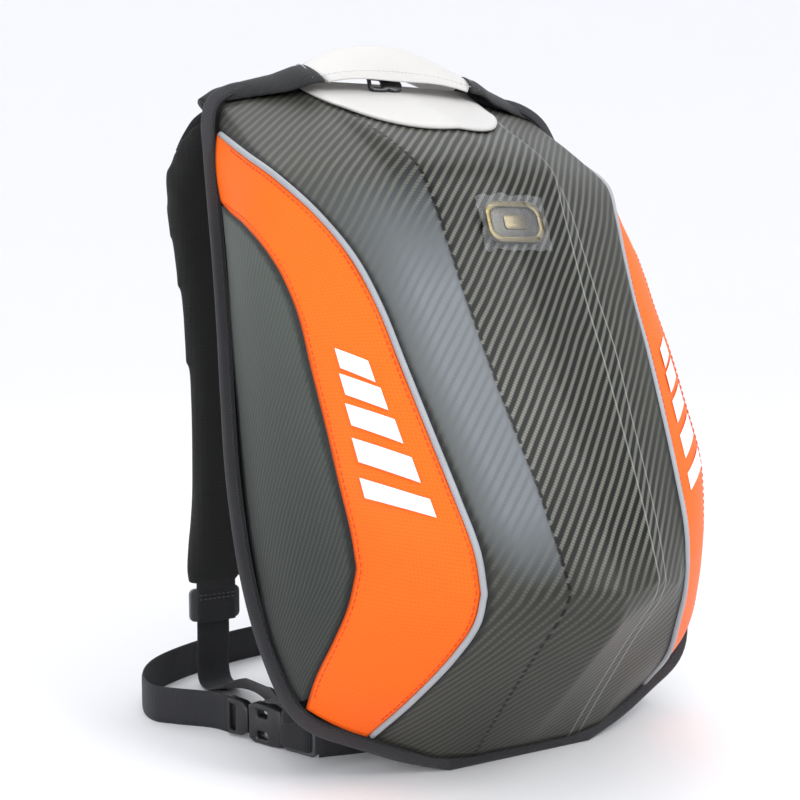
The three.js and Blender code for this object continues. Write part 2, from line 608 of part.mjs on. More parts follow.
pack.add(standingPlate('belt_slider', beltPlace(SLIDER_START + SLIDER_LENGTH / 2), BELT_HEADING, SLIDER_LENGTH,
  FITTING_HEIGHT, SLIDER_THICK, sliderSlots));
pack.add(standingPlate('buckle_socket', beltPlace(SOCKET_START + SOCKET_LENGTH / 2), BELT_HEADING,
  SOCKET_LENGTH, FITTING_HEIGHT, BUCKLE_THICK, []));
pack.add(standingPlate('buckle_plug', beltPlace(PLUG_START + PLUG_LENGTH / 2),
  BELT_HEADING, PLUG_LENGTH, FITTING_HEIGHT - 2, BUCKLE_THICK, []));

// Waist belt: it stands on its edge on the floor, in a closed loop behind the pack
const BELT_Z = WEBBING_WIDTH / 2;
const REAR_BELT = [
  beltPlace(PLUG_END + GAP), beltPlace(PLUG_END + BUCKLE_LENGTH / 3), [-172, 156], [-182, 168], [-182, 192], [-166, 222], [-135, 245], [-80, 266], [0, 274],
  [80, 266], [135, 245], [168, 222], [183, 188], [170, 140], [150, 95], [127.9, 62.9],
];
const FRONT_BELT_STEPS = 20;
const REAR_BELT_STEPS = 44;
function beltStrip(name, points, steps) {
  const raised = points.map(([x, y]) => [x, y, BELT_Z]);
  return stripSolid(name, stationsAlong(raised, steps, ALONG_Z, WEBBING_WIDTH, WEBBING_THICK), BLACK_WEBBING);
}
pack.add(beltStrip('belt_front', FRONT_BELT, FRONT_BELT_STEPS), beltStrip('belt_rear', REAR_BELT, REAR_BELT_STEPS));

// The origin is the middle of the footprint, on the floor
pack.updateMatrixWorld(true);
const box = new THREE.Box3().setFromObject(pack, true);
pack.position.set(-(box.min.x + box.max.x) / 2, -(box.min.y + box.max.y) / 2, -box.min.z);

const model = new THREE.Group();
model.add(pack);

export default model;
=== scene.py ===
# %% [markdown]
# # A hard shell backpack
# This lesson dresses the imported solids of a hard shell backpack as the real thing: a moulded shell in a
# twill weave, orange side panels, grey piping, a stitched edge tape, a white leather top and handle, and
# black straps. Each piece is made in its place, in metres, over the solid that it stands for.

# %% Load the frame
import math
import bmesh
import bpy
import numpy as np
from mathutils import Matrix, Vector, noise


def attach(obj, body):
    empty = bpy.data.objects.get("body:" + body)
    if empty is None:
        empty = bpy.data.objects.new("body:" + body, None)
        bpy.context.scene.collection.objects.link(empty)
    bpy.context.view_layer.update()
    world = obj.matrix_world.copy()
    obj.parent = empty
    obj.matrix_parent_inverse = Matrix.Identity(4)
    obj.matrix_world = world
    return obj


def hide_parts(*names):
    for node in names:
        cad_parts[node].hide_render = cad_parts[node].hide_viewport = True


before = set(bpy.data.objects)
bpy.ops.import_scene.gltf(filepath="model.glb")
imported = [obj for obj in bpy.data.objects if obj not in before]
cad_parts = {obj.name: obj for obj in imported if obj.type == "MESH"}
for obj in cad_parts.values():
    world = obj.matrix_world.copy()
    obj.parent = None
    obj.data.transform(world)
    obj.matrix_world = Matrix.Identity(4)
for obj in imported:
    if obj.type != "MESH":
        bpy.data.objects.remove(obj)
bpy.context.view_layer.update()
print("solids:", len(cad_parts))

# %% [markdown]
# The camera comes first, so that every later choice is judged in the right view. It stands to the left of
# the pack, a little above its middle, and looks slightly down.

# %% Camera
LENS = 58.5
CAMERA_PLACE = Vector((-0.4415, -0.7396, 0.3072))
CAMERA_FORWARD = Vector((0.4761, 0.8729, -0.1067)).normalized()
camera_right = CAMERA_FORWARD.cross(Vector((0, 0, 1))).normalized()
camera_up = camera_right.cross(CAMERA_FORWARD)
camera_data = bpy.data.cameras.new("camera")
camera_data.lens = LENS
camera_data.sensor_width = 36
camera = bpy.data.objects.new("camera", camera_data)
turn = Matrix((camera_right, camera_up, -CAMERA_FORWARD)).transposed()
camera.matrix_world = Matrix.Translation(CAMERA_PLACE) @ turn.to_4x4()
bpy.context.scene.collection.objects.link(camera)
bpy.context.scene.camera = camera

# %% [markdown]
# A pale floor that turns up far away, and three large soft lamps, make the plain light of a small studio.
# The key lamp is high on the right, where the middle of the shell mirrors it, and the left side gets a
# weaker fill.

# %% Floor and lamps
def colour(red, green, blue):
    """Screen values from 0 to 255, made linear."""
    def linear(value):
        value /= 255
        return value / 12.92 if value <= 0.04045 else ((value + 0.055) / 1.055) ** 2.4
    return (linear(red), linear(green), linear(blue), 1)


def new_object(name, data):
    made = bpy.data.objects.new(name, data)
    bpy.context.scene.collection.objects.link(made)
    return made


def lamp(name, place, target, size, power):
    data = bpy.data.lights.new(name, "AREA")
    data.shape = "DISK"
    data.size = size
    data.energy = power
    made = new_object(name, data)
    made.location = place
    made.rotation_euler = (Vector(target) - Vector(place)).to_track_quat("-Z", "Y").to_euler()
    return made


FLAT_RADIUS, RIM_RADIUS, RIM_HEIGHT, FLOOR_SIDES = 2.2, 4.6, 3.4, 64
profile = [(0.9, 0.0), (FLAT_RADIUS, 0.0)]
for share in np.linspace(0.1, 1, 10):
    profile.append((FLAT_RADIUS + (RIM_RADIUS - FLAT_RADIUS) * math.sin(share * math.pi / 2),
                    RIM_HEIGHT * (1 - math.cos(share * math.pi / 2))))
floor_points, floor_faces = [(0, 0, 0)], []
for radius, height in profile:
    for angle in np.linspace(0, math.tau, FLOOR_SIDES, endpoint=False):
        floor_points.append((radius * math.cos(angle), radius * math.sin(angle), height))
for side in range(FLOOR_SIDES):
    floor_faces.append((0, 1 + side, 1 + (side + 1) % FLOOR_SIDES))
    for ring in range(len(profile) - 1):
        near, far = 1 + ring * FLOOR_SIDES, 1 + (ring + 1) * FLOOR_SIDES
        floor_faces.append((near + side, far + side, far + (side + 1) % FLOOR_SIDES,
                            near + (side + 1) % FLOOR_SIDES))
floor_mesh = bpy.data.meshes.new("floor")
floor_mesh.from_pydata(floor_points, [], floor_faces)
floor_mesh.shade_smooth()
floor = new_object("floor", floor_mesh)
floor_finish = bpy.data.materials.new("pale_floor")
floor_finish.use_nodes = True
floor_finish.node_tree.nodes["Principled BSDF"].inputs["Base Color"].default_value = colour(240, 240, 241)
floor_finish.node_tree.nodes["Principled BSDF"].inputs["Roughness"].default_value = 0.8
floor_mesh.materials.append(floor_finish)
TARGET = (0, 0, 0.22)
lamp("key_lamp", (0.62, -1.3, 1.55), TARGET, 0.8, 15)
lamp("fill_lamp", (-1.7, -1.2, 0.8), TARGET, 1.1, 13)
lamp("top_lamp", (0.1, 0.7, 2.0), TARGET, 1.6, 7)
world = bpy.data.worlds.new("studio")
world.use_nodes = True
world.node_tree.nodes["Background"].inputs["Color"].default_value = (0.95, 0.96, 1, 1)
world.node_tree.nodes["Background"].inputs["Strength"].default_value = 1.15
bpy.context.scene.world = world
bpy.context.scene.view_settings.view_transform = "Standard"

# %% [markdown]
# The pack is modelled upright and leaned back, with its origin in the middle of the edge tape. A helper
# turns such a point, in millimetres, to the room, and another one does so for straps that lie behind it.

# %% From the pack's own axes to the room
LEAN = math.radians(23.4)
SHIFT = np.array([0.231, -87.615, 0.0])


def leaned(points):
    """Points of the upright pack, in mm, as places in the room, in m."""
    points = np.atleast_2d(np.asarray(points, float))
    x, y, z = points[:, 0], points[:, 1], points[:, 2]
    turned = np.stack([x, y * math.cos(LEAN) + z * math.sin(LEAN),
                       -y * math.sin(LEAN) + z * math.cos(LEAN)], 1)
    return (turned + SHIFT) / 1000


def leaned_grid(points):
    """A grid of points of the upright pack, rows x columns x 3, turned to the room."""
    return leaned(points.reshape(-1, 3)).reshape(points.shape)


def standing(points):
    """Points of the straps, in mm, as places in the room, in m."""
    return (np.atleast_2d(np.asarray(points, float)) + SHIFT) / 1000


# %% [markdown]
# Materials and Geometry Nodes trees are both built from nodes, so one helper adds a node, sets it and joins
# its inputs. The recipe of a material has short words for what every material needs.

# %% Node helpers
def add_node(tree, kind, inputs=None, **settings):
    """inputs: each a socket, which is joined, or a constant. The index or the name says which input it is."""
    made = tree.nodes.new(kind)
    for key, value in settings.items():
        setattr(made, key, value)
    for key, value in (inputs or {}).items():
        if isinstance(value, bpy.types.NodeSocket):
            tree.links.new(value, made.inputs[key])
        else:
            made.inputs[key].default_value = value
    return made


class Recipe:
    """A material under construction."""

    def __init__(self, name, roughness=0.5, metallic=0.0):
        self.material = bpy.data.materials.new(name)
        self.material.use_nodes = True
        self.tree = self.material.node_tree
        self.shader = self.tree.nodes["Principled BSDF"]
        self.shader.inputs["Roughness"].default_value = roughness
        self.shader.inputs["Metallic"].default_value = metallic

    def add(self, kind, inputs=None, **settings):
        return add_node(self.tree, kind, inputs, **settings)

    def split(self, vector):
        return self.add("ShaderNodeSeparateXYZ", {0: vector}).outputs

    def attribute(self, name):
        return self.add("ShaderNodeAttribute", attribute_name=name, attribute_type="GEOMETRY").outputs

    def sum(self, operation, *values):
        return self.add("ShaderNodeMath", dict(enumerate(values)), operation=operation).outputs[0]

    def mix(self, share, first, second):
        return self.add("ShaderNodeMix", {0: share, 6: first, 7: second}, data_type="RGBA").outputs[2]

    def join(self, value, name):
        self.tree.links.new(value, self.shader.inputs[name])

    def weave(self):
        """The measures across and along the piece and the distance to its side, in mm, and all three."""
        vector = self.attribute("weave")["Vector"]
        return *self.split(vector), vector

    def place(self):
        return self.add("ShaderNodeTexCoord").outputs["Object"]

    def noise(self, vector, scale, detail=3.0):
        inputs = {"Vector": vector, "Scale": scale, "Detail": detail}
        return self.add("ShaderNodeTexNoise", inputs).outputs["Fac"]

    def ripple(self, value, pitch):
        """A smooth wave from 0 to 1, once for each pitch."""
        wave = self.sum("SINE", self.sum("MULTIPLY", value, math.tau / pitch))
        return self.sum("MULTIPLY_ADD", wave, 0.5, 0.5)

    def step(self, value, low, high):
        inputs = {"Value": value, "From Min": low, "From Max": high}
        return self.add("ShaderNodeMapRange", inputs, interpolation_type="SMOOTHSTEP").outputs[0]

    def bump(self, height, distance, strength=1.0):
        """height: a value from 0 to 1. distance: the depth that 1 stands for, in mm."""
        inputs = {"Height": height, "Distance": distance / 1000, "Strength": strength}
        self.join(self.add("ShaderNodeBump", inputs).outputs[0], "Normal")


# %% [markdown]
# The shell is a vinyl film with a carbon twill look: straight slanting stripes about 5 mm apart, each made
# of fine dashes. The stripes follow the surface, so they read each point's own measures from an attribute.
# The third value of that attribute is the distance to the panel's nearer side, where the film is darker.

# %% Carbon twill
def carbon(name, light, dark, contrast, pitch=5.3, roughness=0.38, lift=0.0):
    r = Recipe(name, roughness)
    across, along, edge, vector = r.weave()
    zone, ridge, line = r.split(r.attribute("crease")["Vector"])
    painted_reflection = r.attribute("painted_reflection")["Fac"]
    slant = math.radians(37)
    drift = r.sum("MULTIPLY", r.noise(vector, 0.02, 2.0), 2.0)
    position = r.sum("ADD", r.sum("SUBTRACT", r.sum("MULTIPLY", across, math.cos(slant)),
                                  r.sum("MULTIPLY", along, math.sin(slant))), drift)
    length = r.sum("ADD", r.sum("MULTIPLY", across, math.sin(slant)),
                   r.sum("MULTIPLY", along, math.cos(slant)))
    stripe = r.step(r.ripple(position, pitch), 0.3, 1.0)
    dashes = r.ripple(length, 1.9)
    body = r.sum("MULTIPLY", stripe, r.sum("MULTIPLY_ADD", dashes, 0.45, 0.55))
    plain = r.sum("MULTIPLY_ADD", body, 0.26, 0.2)
    shade = r.mix(zone, plain, body)
    cloud = r.noise(r.place(), 9.0, 2.0)
    shade = r.sum("MULTIPLY", shade, r.sum("MULTIPLY_ADD", cloud, contrast * 0.8, contrast * 0.6))
    # Painted light: when lift is above 0, the film is painted lighter higher up, from 0.08 to 0.42 m, as if
    # lit from above.
    height = r.split(r.place())[2]
    shade = r.sum("ADD", shade, r.sum("MULTIPLY", r.step(height, 0.08, 0.42), lift))
    tone = r.mix(shade, dark, light)
    ragged = r.sum("ADD", edge, r.sum("MULTIPLY_ADD", r.noise(vector, 0.25), 4.0, -2.0))
    tone = r.mix(r.sum("MULTIPLY_ADD", r.step(ragged, 2.0, 6.5), -0.75, 0.75), tone, colour(24, 25, 27))
    # Painted shade: a row of near black dashes along the left ridge crease.
    crease_shade = r.sum("MULTIPLY", r.step(ridge, 1.5, 0.6), r.step(r.ripple(along, 6.6), 0.25, 0.5))
    # Painted reflection: on the left flank, where the point attribute is high, the film is painted a lighter
    # blue grey, standing in for the light that it mirrors.
    reflection_tone = r.mix(body, colour(122, 128, 132), colour(98, 103, 107))
    tone = r.mix(r.sum("MULTIPLY", painted_reflection, 0.85), tone, reflection_tone)
    tone = r.mix(r.sum("MULTIPLY", crease_shade, 0.95), tone, colour(8, 8, 9))
    # Painted highlight: a thin pale line along the right ridge and the right lip.
    pale = r.step(line, 1.0, 0.2)
    tone = r.mix(r.sum("MULTIPLY", pale, 0.4), tone, colour(176, 178, 172))
    r.join(tone, "Base Color")
    r.join(r.sum("MULTIPLY_ADD", body, -0.08, roughness + 0.05), "Roughness")
    r.bump(body, 0.08, 0.45)
    r.shader.inputs["Specular IOR Level"].default_value = 0.2
    return r.material


CARBON = carbon("carbon_twill", colour(122, 123, 113), colour(8, 8, 8), 0.8)
# The gussets get this painted light, and are lighter towards their top.
GUSSET = carbon("gusset_twill", colour(108, 114, 108), colour(30, 32, 31), 0.6, 3.0, 0.5, 0.45)

# %% [markdown]
# The side panels are a coated orange cloth with a fine grid of dots pressed into it. Near the floor the
# colour is painted a little redder, as painted shade. The piping is a satin grey cord, and the tape is a
# ribbed black braid.

# %% Orange cloth, piping and tape
def orange_cloth():
    r = Recipe("orange_cloth", 0.52)
    across, along, edge, vector = r.weave()
    dots = r.sum("MULTIPLY", r.ripple(across, 2.3), r.ripple(along, 2.3))
    pit = r.step(dots, 0.45, 0.85)
    height = r.split(r.place())[2]
    # Painted shade: below 0.32 m the orange is painted a little redder, most of all near the floor.
    base = r.mix(r.step(height, 0.05, 0.32), colour(253, 104, 16), colour(253, 108, 16))
    base = r.mix(r.sum("MULTIPLY", r.noise(vector, 0.05), 0.25), base, colour(238, 86, 24))
    base = r.mix(r.sum("MULTIPLY", pit, 0.34), base, colour(196, 52, 14))
    base = r.mix(r.sum("MULTIPLY_ADD", r.step(edge, 0.4, 2.2), -0.55, 0.55), base, colour(150, 44, 14))
    r.join(base, "Base Color")
    r.bump(pit, -0.16, 0.7)
    r.shader.inputs["Specular IOR Level"].default_value = 0.22
    return r.material


def piping_cord():
    r = Recipe("piping_cord", 0.45)
    across, along, _, vector = r.weave()
    twist = r.ripple(r.sum("ADD", along, r.sum("MULTIPLY", across, 0.6)), 1.1)
    tone = r.mix(r.sum("MULTIPLY", twist, 0.4), colour(150, 154, 158), colour(120, 123, 128))
    r.join(r.mix(r.sum("MULTIPLY", r.noise(vector, 0.04), 0.3), tone, colour(196, 199, 204)), "Base Color")
    r.bump(twist, 0.08, 0.5)
    return r.material


def ribbed(name, light, dark, pitch, roughness, depth=0.25, cross=0.9):
    r = Recipe(name, roughness)
    across, along, _, vector = r.weave()
    rib = r.ripple(along, pitch)
    yarn = r.ripple(across, cross)
    height = r.sum("ADD", rib, r.sum("MULTIPLY", yarn, 0.45))
    fuzz = r.noise(vector, 0.9, 4.0)
    tone = r.mix(r.sum("MULTIPLY", rib, r.sum("MULTIPLY_ADD", yarn, 0.4, 0.6)), dark, light)
    r.join(r.mix(r.sum("MULTIPLY", fuzz, 0.35), tone, dark), "Base Color")
    r.bump(height, depth, 0.8)
    r.shader.inputs["Sheen Weight"].default_value = 0.05
    return r.material


ORANGE = orange_cloth()
PIPING = piping_cord()
TAPE = ribbed("rim_braid", colour(62, 62, 65), colour(34, 34, 37), 1.0, 0.85, 0.12)
WEBBING = ribbed("black_webbing", colour(36, 37, 40), colour(12, 12, 14), 1.3, 0.75, 0.2)
BELT = ribbed("belt_webbing", colour(37, 38, 45), colour(13, 13, 17), 1.2, 0.7, 0.2)

# %% [markdown]
# The top patch and the handle are a smooth white leather with a fine pebble grain. The straps and the back
# are black cloth, a spacer mesh with small cells, and the fittings are moulded plastic.

# %% Leather, cloth, plastic, metal and film
def white_leather():
    r = Recipe("white_leather", 0.42)
    place = r.place()
    cells = r.add("ShaderNodeTexVoronoi", {"Vector": place, "Scale": 900.0}, feature="DISTANCE_TO_EDGE")
    grain = r.step(cells.outputs["Distance"], 0.0, 0.25)
    folds = r.noise(place, 60.0, 3.0)
    base = r.mix(r.sum("MULTIPLY", r.noise(place, 14.0), 0.5), colour(199, 197, 193), colour(186, 184, 182))
    r.join(r.mix(r.sum("MULTIPLY_ADD", grain, -0.1, 0.1), base, colour(173, 171, 169)), "Base Color")
    r.bump(r.sum("ADD", r.sum("MULTIPLY", grain, 0.3), folds), 0.25, 0.45)
    return r.material


def black_cloth(name, light, dark, pitch):
    r = Recipe(name, 0.86)
    across, along, _, _ = r.weave()
    cell = r.sum("MULTIPLY", r.ripple(across, pitch), r.ripple(along, pitch * 0.8))
    hole = r.step(cell, 0.35, 0.8)
    cloud = r.noise(r.place(), 22.0, 4.0)
    tone = r.mix(r.sum("MULTIPLY", hole, 0.7), light, dark)
    r.join(r.mix(r.sum("MULTIPLY", cloud, 0.5), tone, dark), "Base Color")
    r.bump(r.sum("SUBTRACT", cloud, hole), 0.3, 0.5)
    r.shader.inputs["Sheen Weight"].default_value = 0.06
    return r.material


def moulded_plastic(name, base, roughness):
    r = Recipe(name, roughness)
    place = r.place()
    grain = r.noise(place, 1400.0, 2.0)
    wear = r.step(r.noise(place, 55.0, 4.0), 0.5, 0.75)
    r.join(r.mix(r.sum("MULTIPLY", wear, 0.25), base, colour(64, 65, 68)), "Base Color")
    r.join(r.sum("MULTIPLY_ADD", wear, 0.15, roughness), "Roughness")
    r.bump(grain, 0.04, 0.4)
    return r.material


def plated_metal():
    r = Recipe("plated_metal", 0.24, 1.0)
    place = r.place()
    brushed = r.add("ShaderNodeMapping", {"Vector": place, "Scale": (60.0, 60.0, 2400.0)}).outputs[0]
    lines = r.noise(brushed, 1.0, 3.0)
    r.join(r.mix(lines, colour(104, 95, 70), colour(74, 67, 49)), "Base Color")
    r.join(r.sum("MULTIPLY_ADD", lines, 0.2, 0.2), "Roughness")
    r.bump(lines, 0.02, 0.4)
    return r.material


def dark_enamel():
    r = Recipe("dark_enamel", 0.3, 0.4)
    speck = r.noise(r.place(), 700.0, 2.0)
    r.join(r.mix(speck, colour(52, 49, 38), colour(36, 34, 28)), "Base Color")
    r.bump(speck, 0.04, 0.4)
    return r.material


def clear_film():
    r = Recipe("clear_film", 0.14)
    folds = r.noise(r.place(), 150.0, 2.0)
    r.join(r.mix(folds, colour(225, 228, 230), colour(200, 204, 208)), "Base Color")
    r.bump(folds, 0.8, 0.7)
    r.shader.inputs["Alpha"].default_value = 0.06
    return r.material


def thread(name, base, dark):
    r = Recipe(name, 0.6)
    twist = r.noise(r.place(), 2500.0, 2.0)
    r.join(r.mix(twist, base, dark), "Base Color")
    r.bump(twist, 0.05, 0.5)
    return r.material


LEATHER = white_leather()
CLOTH = black_cloth("black_cloth", colour(28, 29, 30), colour(10, 10, 11), 2.0)
PAD_CLOTH = black_cloth("spacer_mesh", colour(17, 18, 17), colour(5, 5, 5), 3.2)
PLASTIC = moulded_plastic("black_plastic", colour(26, 26, 28), 0.28)
GREY_PLASTIC = moulded_plastic("grey_plastic", colour(72, 74, 78), 0.42)
METAL = plated_metal()
ENAMEL = dark_enamel()
FILM = clear_film()
RED_THREAD = thread("red_thread", colour(228, 66, 16), colour(196, 50, 12))
GREY_THREAD = thread("grey_thread", colour(92, 93, 96), colour(66, 67, 70))
TAPE_THREAD = thread("tape_thread", colour(56, 57, 59), colour(38, 39, 41))
WHITE_THREAD = thread("white_thread", colour(214, 215, 220), colour(176, 178, 186))
BLACK_THREAD = thread("black_thread", colour(34, 34, 37), colour(16, 16, 18))
PRINT = thread("white_print", colour(250, 250, 250), colour(236, 238, 240))

# %% [markdown]
# Most pieces are a grid of points with a measure at each one, or a strip swept along a path. These mesh
# helpers store the measures as the attribute "weave" and leave closed, smooth shapes.

# %% Mesh helpers
def point_values(mesh, name, kind, values):
    """Stores a value, or a vector, at each point."""
    attribute = mesh.attributes.new(name, kind, "POINT")
    field = "value" if kind == "FLOAT" else "vector"
    attribute.data.foreach_set(field, values.reshape(-1).astype(np.float32))


def run_length(points):
    """How far along a line each of its points is."""
    return np.concatenate([[0], np.cumsum(np.linalg.norm(np.diff(points, axis=0), axis=1))])


def grid_mesh(name, points, measures, material, closed_rows=False, closed_columns=False, caps=False):
    """points and measures: arrays of rows x columns x 3."""
    rows, columns = points.shape[:2]
    faces = []
    for row in range(rows if closed_rows else rows - 1):
        for column in range(columns if closed_columns else columns - 1):
            a, b = row * columns + column, row * columns + (column + 1) % columns
            after = (row + 1) % rows
            faces.append((a, b, after * columns + (column + 1) % columns, after * columns + column))
    if caps:
        faces.append(tuple(reversed(range(columns))))
        faces.append(tuple((rows - 1) * columns + column for column in range(columns)))
    mesh = bpy.data.meshes.new(name)
    mesh.from_pydata([tuple(p) for p in points.reshape(-1, 3)], [], faces)
    point_values(mesh, "weave", "FLOAT_VECTOR", measures)
    mesh.materials.append(material)
    mesh.shade_smooth()
    return new_object(name, mesh)


def settle(made):
    """Makes the piece's modifiers part of its mesh."""
    evaluated = made.evaluated_get(bpy.context.evaluated_depsgraph_get())
    mesh = bpy.data.meshes.new_from_object(evaluated)
    made.modifiers.clear()
    made.data = mesh
    mesh.shade_smooth()
    return made


def outward(made):
    """Turns all faces of a closed piece outwards."""
    work = bmesh.new()
    work.from_mesh(made.data)
    bmesh.ops.recalc_face_normals(work, faces=work.faces)
    work.to_mesh(made.data)
    work.free()
    return made


def thicken(made, thickness, offset=-1.0):
    modifier = made.modifiers.new("wall", "SOLIDIFY")
    modifier.thickness = thickness / 1000
    modifier.offset = offset
    return settle(made)


def finished(made, slot, *nodes):
    """Attaches the piece to the root body and hides the solids that it stands for; the slot is not used."""
    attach(made, "root")
    if nodes:
        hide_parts(*nodes)
    print(made.name, len(made.data.polygons))
    return made


ROUND_SECTION = [(math.cos(a), math.sin(a)) for a in np.linspace(0, math.tau, 10, endpoint=False)]


def band_section(roundness=0.35, per_side=9, corner=4):
    """A flat section with rounded ends, as shares of half the width and half the thickness."""
    points = []
    for x in np.linspace(-1 + roundness, 1 - roundness, per_side):
        points.append((x, -1))
    for a in np.linspace(-90, 90, corner + 2)[1:-1]:
        points.append((1 - roundness + roundness * math.cos(math.radians(a)), math.sin(math.radians(a))))
    for x in np.linspace(1 - roundness, -1 + roundness, per_side):
        points.append((x, 1))
    for a in np.linspace(90, 270, corner + 2)[1:-1]:
        points.append((-1 + roundness + roundness * math.cos(math.radians(a)), math.sin(math.radians(a))))
    return points


def along_path(points, count):
    """Equal steps on a smooth curve through the points, as a centripetal spline gives them."""
    points = np.asarray(points, float)
    shares = np.linspace(0, 1, 40 * len(points))
    dense = np.array([spline_point(points, share) for share in shares])
    length = run_length(dense)
    wanted = np.linspace(0, length[-1], count)
    return np.stack([np.interp(wanted, length, dense[:, axis]) for axis in range(3)], 1)


def spline_point(points, share):
    """A centripetal spline through the points, with its ends run on straight."""
    count = len(points)
    place = (count - 1) * min(max(share, 0), 1)
    index = min(int(place), count - 2)
    part = place - index
    p1, p2 = points[index], points[index + 1]
    p0 = points[index - 1] if index > 0 else 2 * points[0] - points[1]
    p3 = points[index + 2] if index + 2 < count else 2 * points[-1] - points[-2]
    d0, d1, d2 = (max(np.dot(b - a, b - a) ** 0.25, 1e-4) for a, b in ((p0, p1), (p1, p2), (p2, p3)))
    t1 = ((p1 - p0) / d0 - (p2 - p0) / (d0 + d1) + (p2 - p1) / d1) * d1
    t2 = ((p2 - p1) / d1 - (p3 - p1) / (d1 + d2) + (p3 - p2) / d2) * d1
    square, cube = -3 * p1 + 3 * p2 - 2 * t1 - t2, 2 * p1 - 2 * p2 + t1 + t2
    return p1 + t1 * part + square * part ** 2 + cube * part ** 3


def swept(name, path, side, widths, thicks, material, to_room, section=None, closed=False, bend=None):
    """A band along a path. side: the direction of its width. bend(share, s): a lift of the section."""
    path = np.asarray(path, float)
    count = len(path)
    widths = np.broadcast_to(widths, (count,))
    thicks = np.broadcast_to(thicks, (count,))
    section = section or band_section()
    sides = np.broadcast_to(np.asarray(side, float), (count, 3))
    rows, measures, run = [], [], 0.0
    for index in range(count):
        before = path[(index - 1) % count] if closed else path[max(index - 1, 0)]
        after = path[(index + 1) % count] if closed else path[min(index + 1, count - 1)]
        along = (after - before) / np.linalg.norm(after - before)
        across = sides[index] - along * np.dot(sides[index], along)
        across /= np.linalg.norm(across)
        face = np.cross(along, across)
        run += np.linalg.norm(path[index] - path[index - 1]) if index else 0
        line, values = [], []
        for s, t in section:
            lift = bend(index / (count - 1), s) if bend else 0.0
            line.append(path[index] + across * s * widths[index] / 2 + face * (t * thicks[index] / 2 + lift))
            values.append((s * widths[index] / 2, run, widths[index] / 2 * (1 - abs(s))))
        rows.append(line)
        measures.append(values)
    points = np.array(rows)
    shape = points.shape
    made = grid_mesh(name, to_room(points.reshape(-1, 3)).reshape(shape), np.array(measures), material,
                     closed_rows=closed, closed_columns=True, caps=not closed)
    return outward(made)


# %% [markdown]
# Hard fittings are plates with rounded edges. A flat curve with its holes, an extrusion and a bevel gives
# such a plate in one go, and a matrix puts it in its place.

# %% Plate helper
def plate(name, outline, holes, thick, bevel, matrix, material):
    """outline and holes in mm in the plate's own plane; matrix: that plane's place in the room, in m."""
    curve = bpy.data.curves.new(name, "CURVE")
    curve.dimensions = "2D"
    curve.fill_mode = "BOTH"
    curve.extrude = thick / 2 - bevel
    curve.bevel_depth = bevel
    curve.bevel_resolution = 2
    curve.offset = -bevel
    for loop in [outline, *holes]:
        spline = curve.splines.new("POLY")
        spline.points.add(len(loop) - 1)
        for point, (x, y) in zip(spline.points, loop):
            point.co = (x, y, 0, 1)
        spline.use_cyclic_u = True
    draft = new_object(name + "_draft", curve)
    bpy.context.view_layer.update()
    mesh = bpy.data.meshes.new_from_object(draft.evaluated_get(bpy.context.evaluated_depsgraph_get()))
    bpy.data.objects.remove(draft)
    scale = Matrix.Diagonal((0.001, 0.001, 0.001, 1))
    mesh.transform(matrix @ scale)
    mesh.materials.clear()
    mesh.materials.append(material)
    made = new_object(name, mesh)
    work = bmesh.new()
    work.from_mesh(mesh)
    bmesh.ops.remove_doubles(work, verts=work.verts, dist=1e-6)
    bmesh.ops.recalc_face_normals(work, faces=work.faces)
    work.to_mesh(mesh)
    work.free()
    mesh.shade_smooth()
    mesh.set_sharp_from_angle(angle=math.radians(35))
    return made


def rounded(width, height, corner, middle=(0, 0), steps=5):
    """A rectangle with round corners."""
    points = []
    for cx, cy, start in ((1, 1, 0), (-1, 1, 90), (-1, -1, 180), (1, -1, 270)):
        for a in np.linspace(start, start + 90, steps):
            points.append((middle[0] + cx * (width / 2 - corner) + corner * math.cos(math.radians(a)),
                           middle[1] + cy * (height / 2 - corner) + corner * math.sin(math.radians(a))))
    return points


def frame_matrix(place, x_axis, y_axis):
    """The place of a plate whose own axes are given as directions in the room."""
    x_axis, y_axis = Vector(x_axis).normalized(), Vector(y_axis).normalized()
    turned = Matrix((x_axis, y_axis, x_axis.cross(y_axis))).transposed()
    return Matrix.Translation(Vector(place)) @ turned.to_4x4()


# %% [markdown]
# Seams are sewn with thread. One Geometry Nodes tree lays short stitches at an even pitch along a line,
# and another sweeps a thin thread along a line, for zigzags and cords.

# %% Stitch trees
def open_tree(name, sizes):
    """A tree that takes a line, sizes in metres and a finish, and gives a thread."""
    tree = bpy.data.node_groups.new(name, "GeometryNodeTree")
    tree.interface.new_socket("Line", in_out="INPUT", socket_type="NodeSocketGeometry")
    for size, value in sizes.items():
        socket = tree.interface.new_socket(size, in_out="INPUT", socket_type="NodeSocketFloat")
        socket.default_value = value
    tree.interface.new_socket("Finish", in_out="INPUT", socket_type="NodeSocketMaterial")
    tree.interface.new_socket("Thread", in_out="OUTPUT", socket_type="NodeSocketGeometry")
    start = add_node(tree, "NodeGroupInput").outputs
    return tree, start, add_node(tree, "GeometryNodeMeshToCurve", {0: start["Line"]}).outputs[0]


def close_tree(tree, start, thread_shape):
    real = add_node(tree, "GeometryNodeRealizeInstances", {0: thread_shape}).outputs[0]
    paint = add_node(tree, "GeometryNodeSetMaterial", {"Geometry": real, "Material": start["Finish"]})
    add_node(tree, "NodeGroupOutput", {0: paint.outputs[0]})
    return tree


